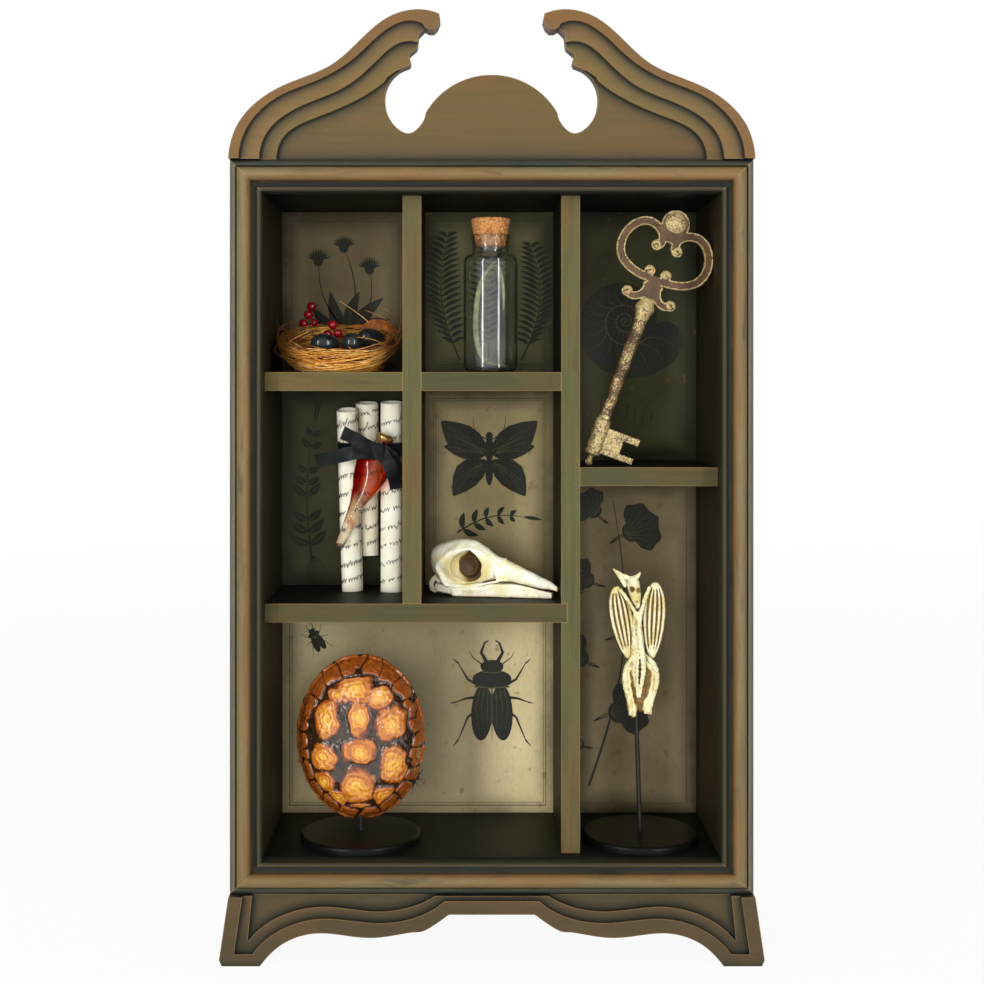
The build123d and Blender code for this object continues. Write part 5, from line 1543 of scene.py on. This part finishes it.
face = cadCopy("bat_head")
snout = [[(101.6, y - 6.0, 238.0, 1.4), (102.2, y - 6.8, 233.6, 1.1), (102.2, y - 6.2, 231.0, 0.8)],
         [(97.0, y - 4.2, 250.6, 1.1), (91.0, y - 3.4, 253.4, 0.7), (85.4, y - 2.8, 257.2, 0.3)],
         [(100.8, y - 4.6, 251.0, 1.2), (103.2, y - 4.0, 253.4, 0.8), (104.2, y - 3.6, 255.0, 0.4)]]
take(face, tubes(snout, 1.7, corners=2, steps=5))
face = remeshed(face, 0.34, 1)
for vert in face.verts:
    for centre, radius, depth in (((98.2, y - 8.0, 243.6), 2.2, 2.4), ((103.0, y - 9.2, 243.0), 2.0, 2.4),
                                  ((101.2, y - 10.4, 235.4), 1.0, 1.4), ((99.6, y - 7.0, 237.6), 1.0, 1.2)):
        near = (vert.co - Vector(centre)).length
        vert.co.y += depth * ease(1 - near / (radius * 1.9))
# Painted shade: the eye sockets and the nostril are stored dark
rimStainAndShade = face.verts.layers.float.new("hollow")
shadedCavities = (((98.2, y - 6.6, 243.6), 2.6), ((103.0, y - 7.6, 243.0), 2.4), ((101.2, y - 9.0, 235.4), 1.4))
for vert in face.verts:
    for centre, radius in shadedCavities:
        vert[rimStainAndShade] = max(vert[rimStainAndShade], 0.9 * ease(1.3 - (vert.co - Vector(centre)).length / radius))
roughen(face, 1.5, 0.5, 21)
addPiece("batHead", face, batBone, "bat_stand", ["bat_head"], sharp=80)
print("cabinet: bat assembled")


# ---- Floor, light and camera ----
class Stage(Finish):
    # The same builder on a bare tree, for the floor and the world
    def __init__(self, tree):
        self.tree = tree
        tree.nodes.clear()
        self.rays = self.make("LightPath").outputs

    def blend(self, factor, first, second, output):
        made = self.make("MixShader")
        for socket, source in zip(made.inputs, (factor, first, second)):
            self.join(source, socket)
        self.join(made.outputs[0], self.make(output).inputs[0])


floorMaterial = bpy.data.materials.new("paleFloor")
floorMaterial.use_nodes = True
bare = Stage(floorMaterial.node_tree)
matte = bare.make("BsdfDiffuse")
matte.inputs["Color"].default_value = (0.93, 0.93, 0.93, 1)
distance = bare.make("VectorMath", operation="LENGTH")
bare.join(bare.make("TexCoord").outputs["Object"], distance.inputs[0])
fade = bare.make("MapRange")  # White far away, so that no horizon shows
for name, value in (("From Min", 0.7), ("From Max", 3.5), ("To Min", 0.94), ("To Max", 1.0)):
    fade.inputs[name].default_value = value
bare.join(distance.outputs["Value"], fade.inputs["Value"])
seen = bare.sum("MAXIMUM", bare.rays["Is Camera Ray"], bare.rays["Is Transmission Ray"])
seen = bare.sum("MAXIMUM", seen, bare.rays["Is Glossy Ray"])
share = bare.sum("MULTIPLY", seen, fade.outputs["Result"])
bare.blend(share, matte.outputs[0], bare.make("Emission").outputs[0], "OutputMaterial")
ground = bmesh.new()
bmesh.ops.create_grid(ground, x_segments=1, y_segments=1, size=6.0)
floorMesh = bpy.data.meshes.new("floor")
ground.to_mesh(floorMesh)
ground.free()
floorMesh.materials.append(floorMaterial)
floorPiece = bpy.data.objects.new("floor", floorMesh)
bpy.context.scene.collection.objects.link(floorPiece)

world = bpy.data.worlds.new("studio")
bpy.context.scene.world = world
world.use_nodes = True
bare = Stage(world.node_tree)
shades = []
for strength in (0.42, 1.0):
    shade = bare.make("Background")
    shade.inputs["Color"].default_value = (1, 1, 1, 1)
    shade.inputs["Strength"].default_value = strength
    shades.append(shade.outputs[0])
split = bare.make("SeparateXYZ")  # Gloss sees the white backdrop behind and a dimmer room in front
bare.join(bare.make("TexCoord").outputs["Generated"], split.inputs[0])
behind = bare.make("Math", operation="MULTIPLY_ADD", use_clamp=True)
for socket, source in zip(behind.inputs, (split.outputs[1], 2.0, 0.5)):
    bare.join(source, socket)
seen = bare.sum("MAXIMUM", bare.rays["Is Camera Ray"], bare.rays["Is Transmission Ray"])
glossed = bare.sum("MULTIPLY", bare.rays["Is Glossy Ray"], behind.outputs[0])
bare.blend(bare.sum("MAXIMUM", seen, glossed), *shades, "OutputWorld")


def softbox(name, azimuth, height, distance, width, tall, power):
    # A rectangular lamp that faces the middle of the cabinet
    lamp = bpy.data.lights.new(name, "AREA")
    lamp.shape = "RECTANGLE"
    lamp.size = width
    lamp.size_y = tall
    lamp.energy = power
    holder = bpy.data.objects.new(name, lamp)
    turn = math.radians(azimuth)
    holder.location = (math.sin(turn) * distance, -math.cos(turn) * distance, height)
    aim = Vector((0, 0, 0.3)) - holder.location
    holder.rotation_euler = aim.to_track_quat("-Z", "Y").to_euler()
    bpy.context.scene.collection.objects.link(holder)
    return holder


softbox("leftStrip", azimuth=-35, height=0.62, distance=1.5, width=0.1, tall=1.6, power=9.0)
softbox("rightStrip", azimuth=35, height=0.62, distance=1.5, width=0.1, tall=1.6, power=8.0)
fill = softbox("frontFill", azimuth=-8, height=0.42, distance=2.2, width=1.4, tall=1.0, power=30.0)
fill.visible_glossy = False
fill.visible_transmission = False

camera = bpy.data.cameras.new("camera")
camera.lens = 55.0
camera.sensor_width = 36.0
camera.shift_x = 0.0244
camera.shift_y = -0.1077
viewer = bpy.data.objects.new("camera", camera)
viewer.location = (-0.0158, -1.0595, 0.3849)
viewer.rotation_euler = (math.radians(90), 0, 0)
bpy.context.scene.collection.objects.link(viewer)
bpy.context.scene.camera = viewer
bpy.context.scene.view_settings.view_transform = "Standard"
print("cabinet: stage set")
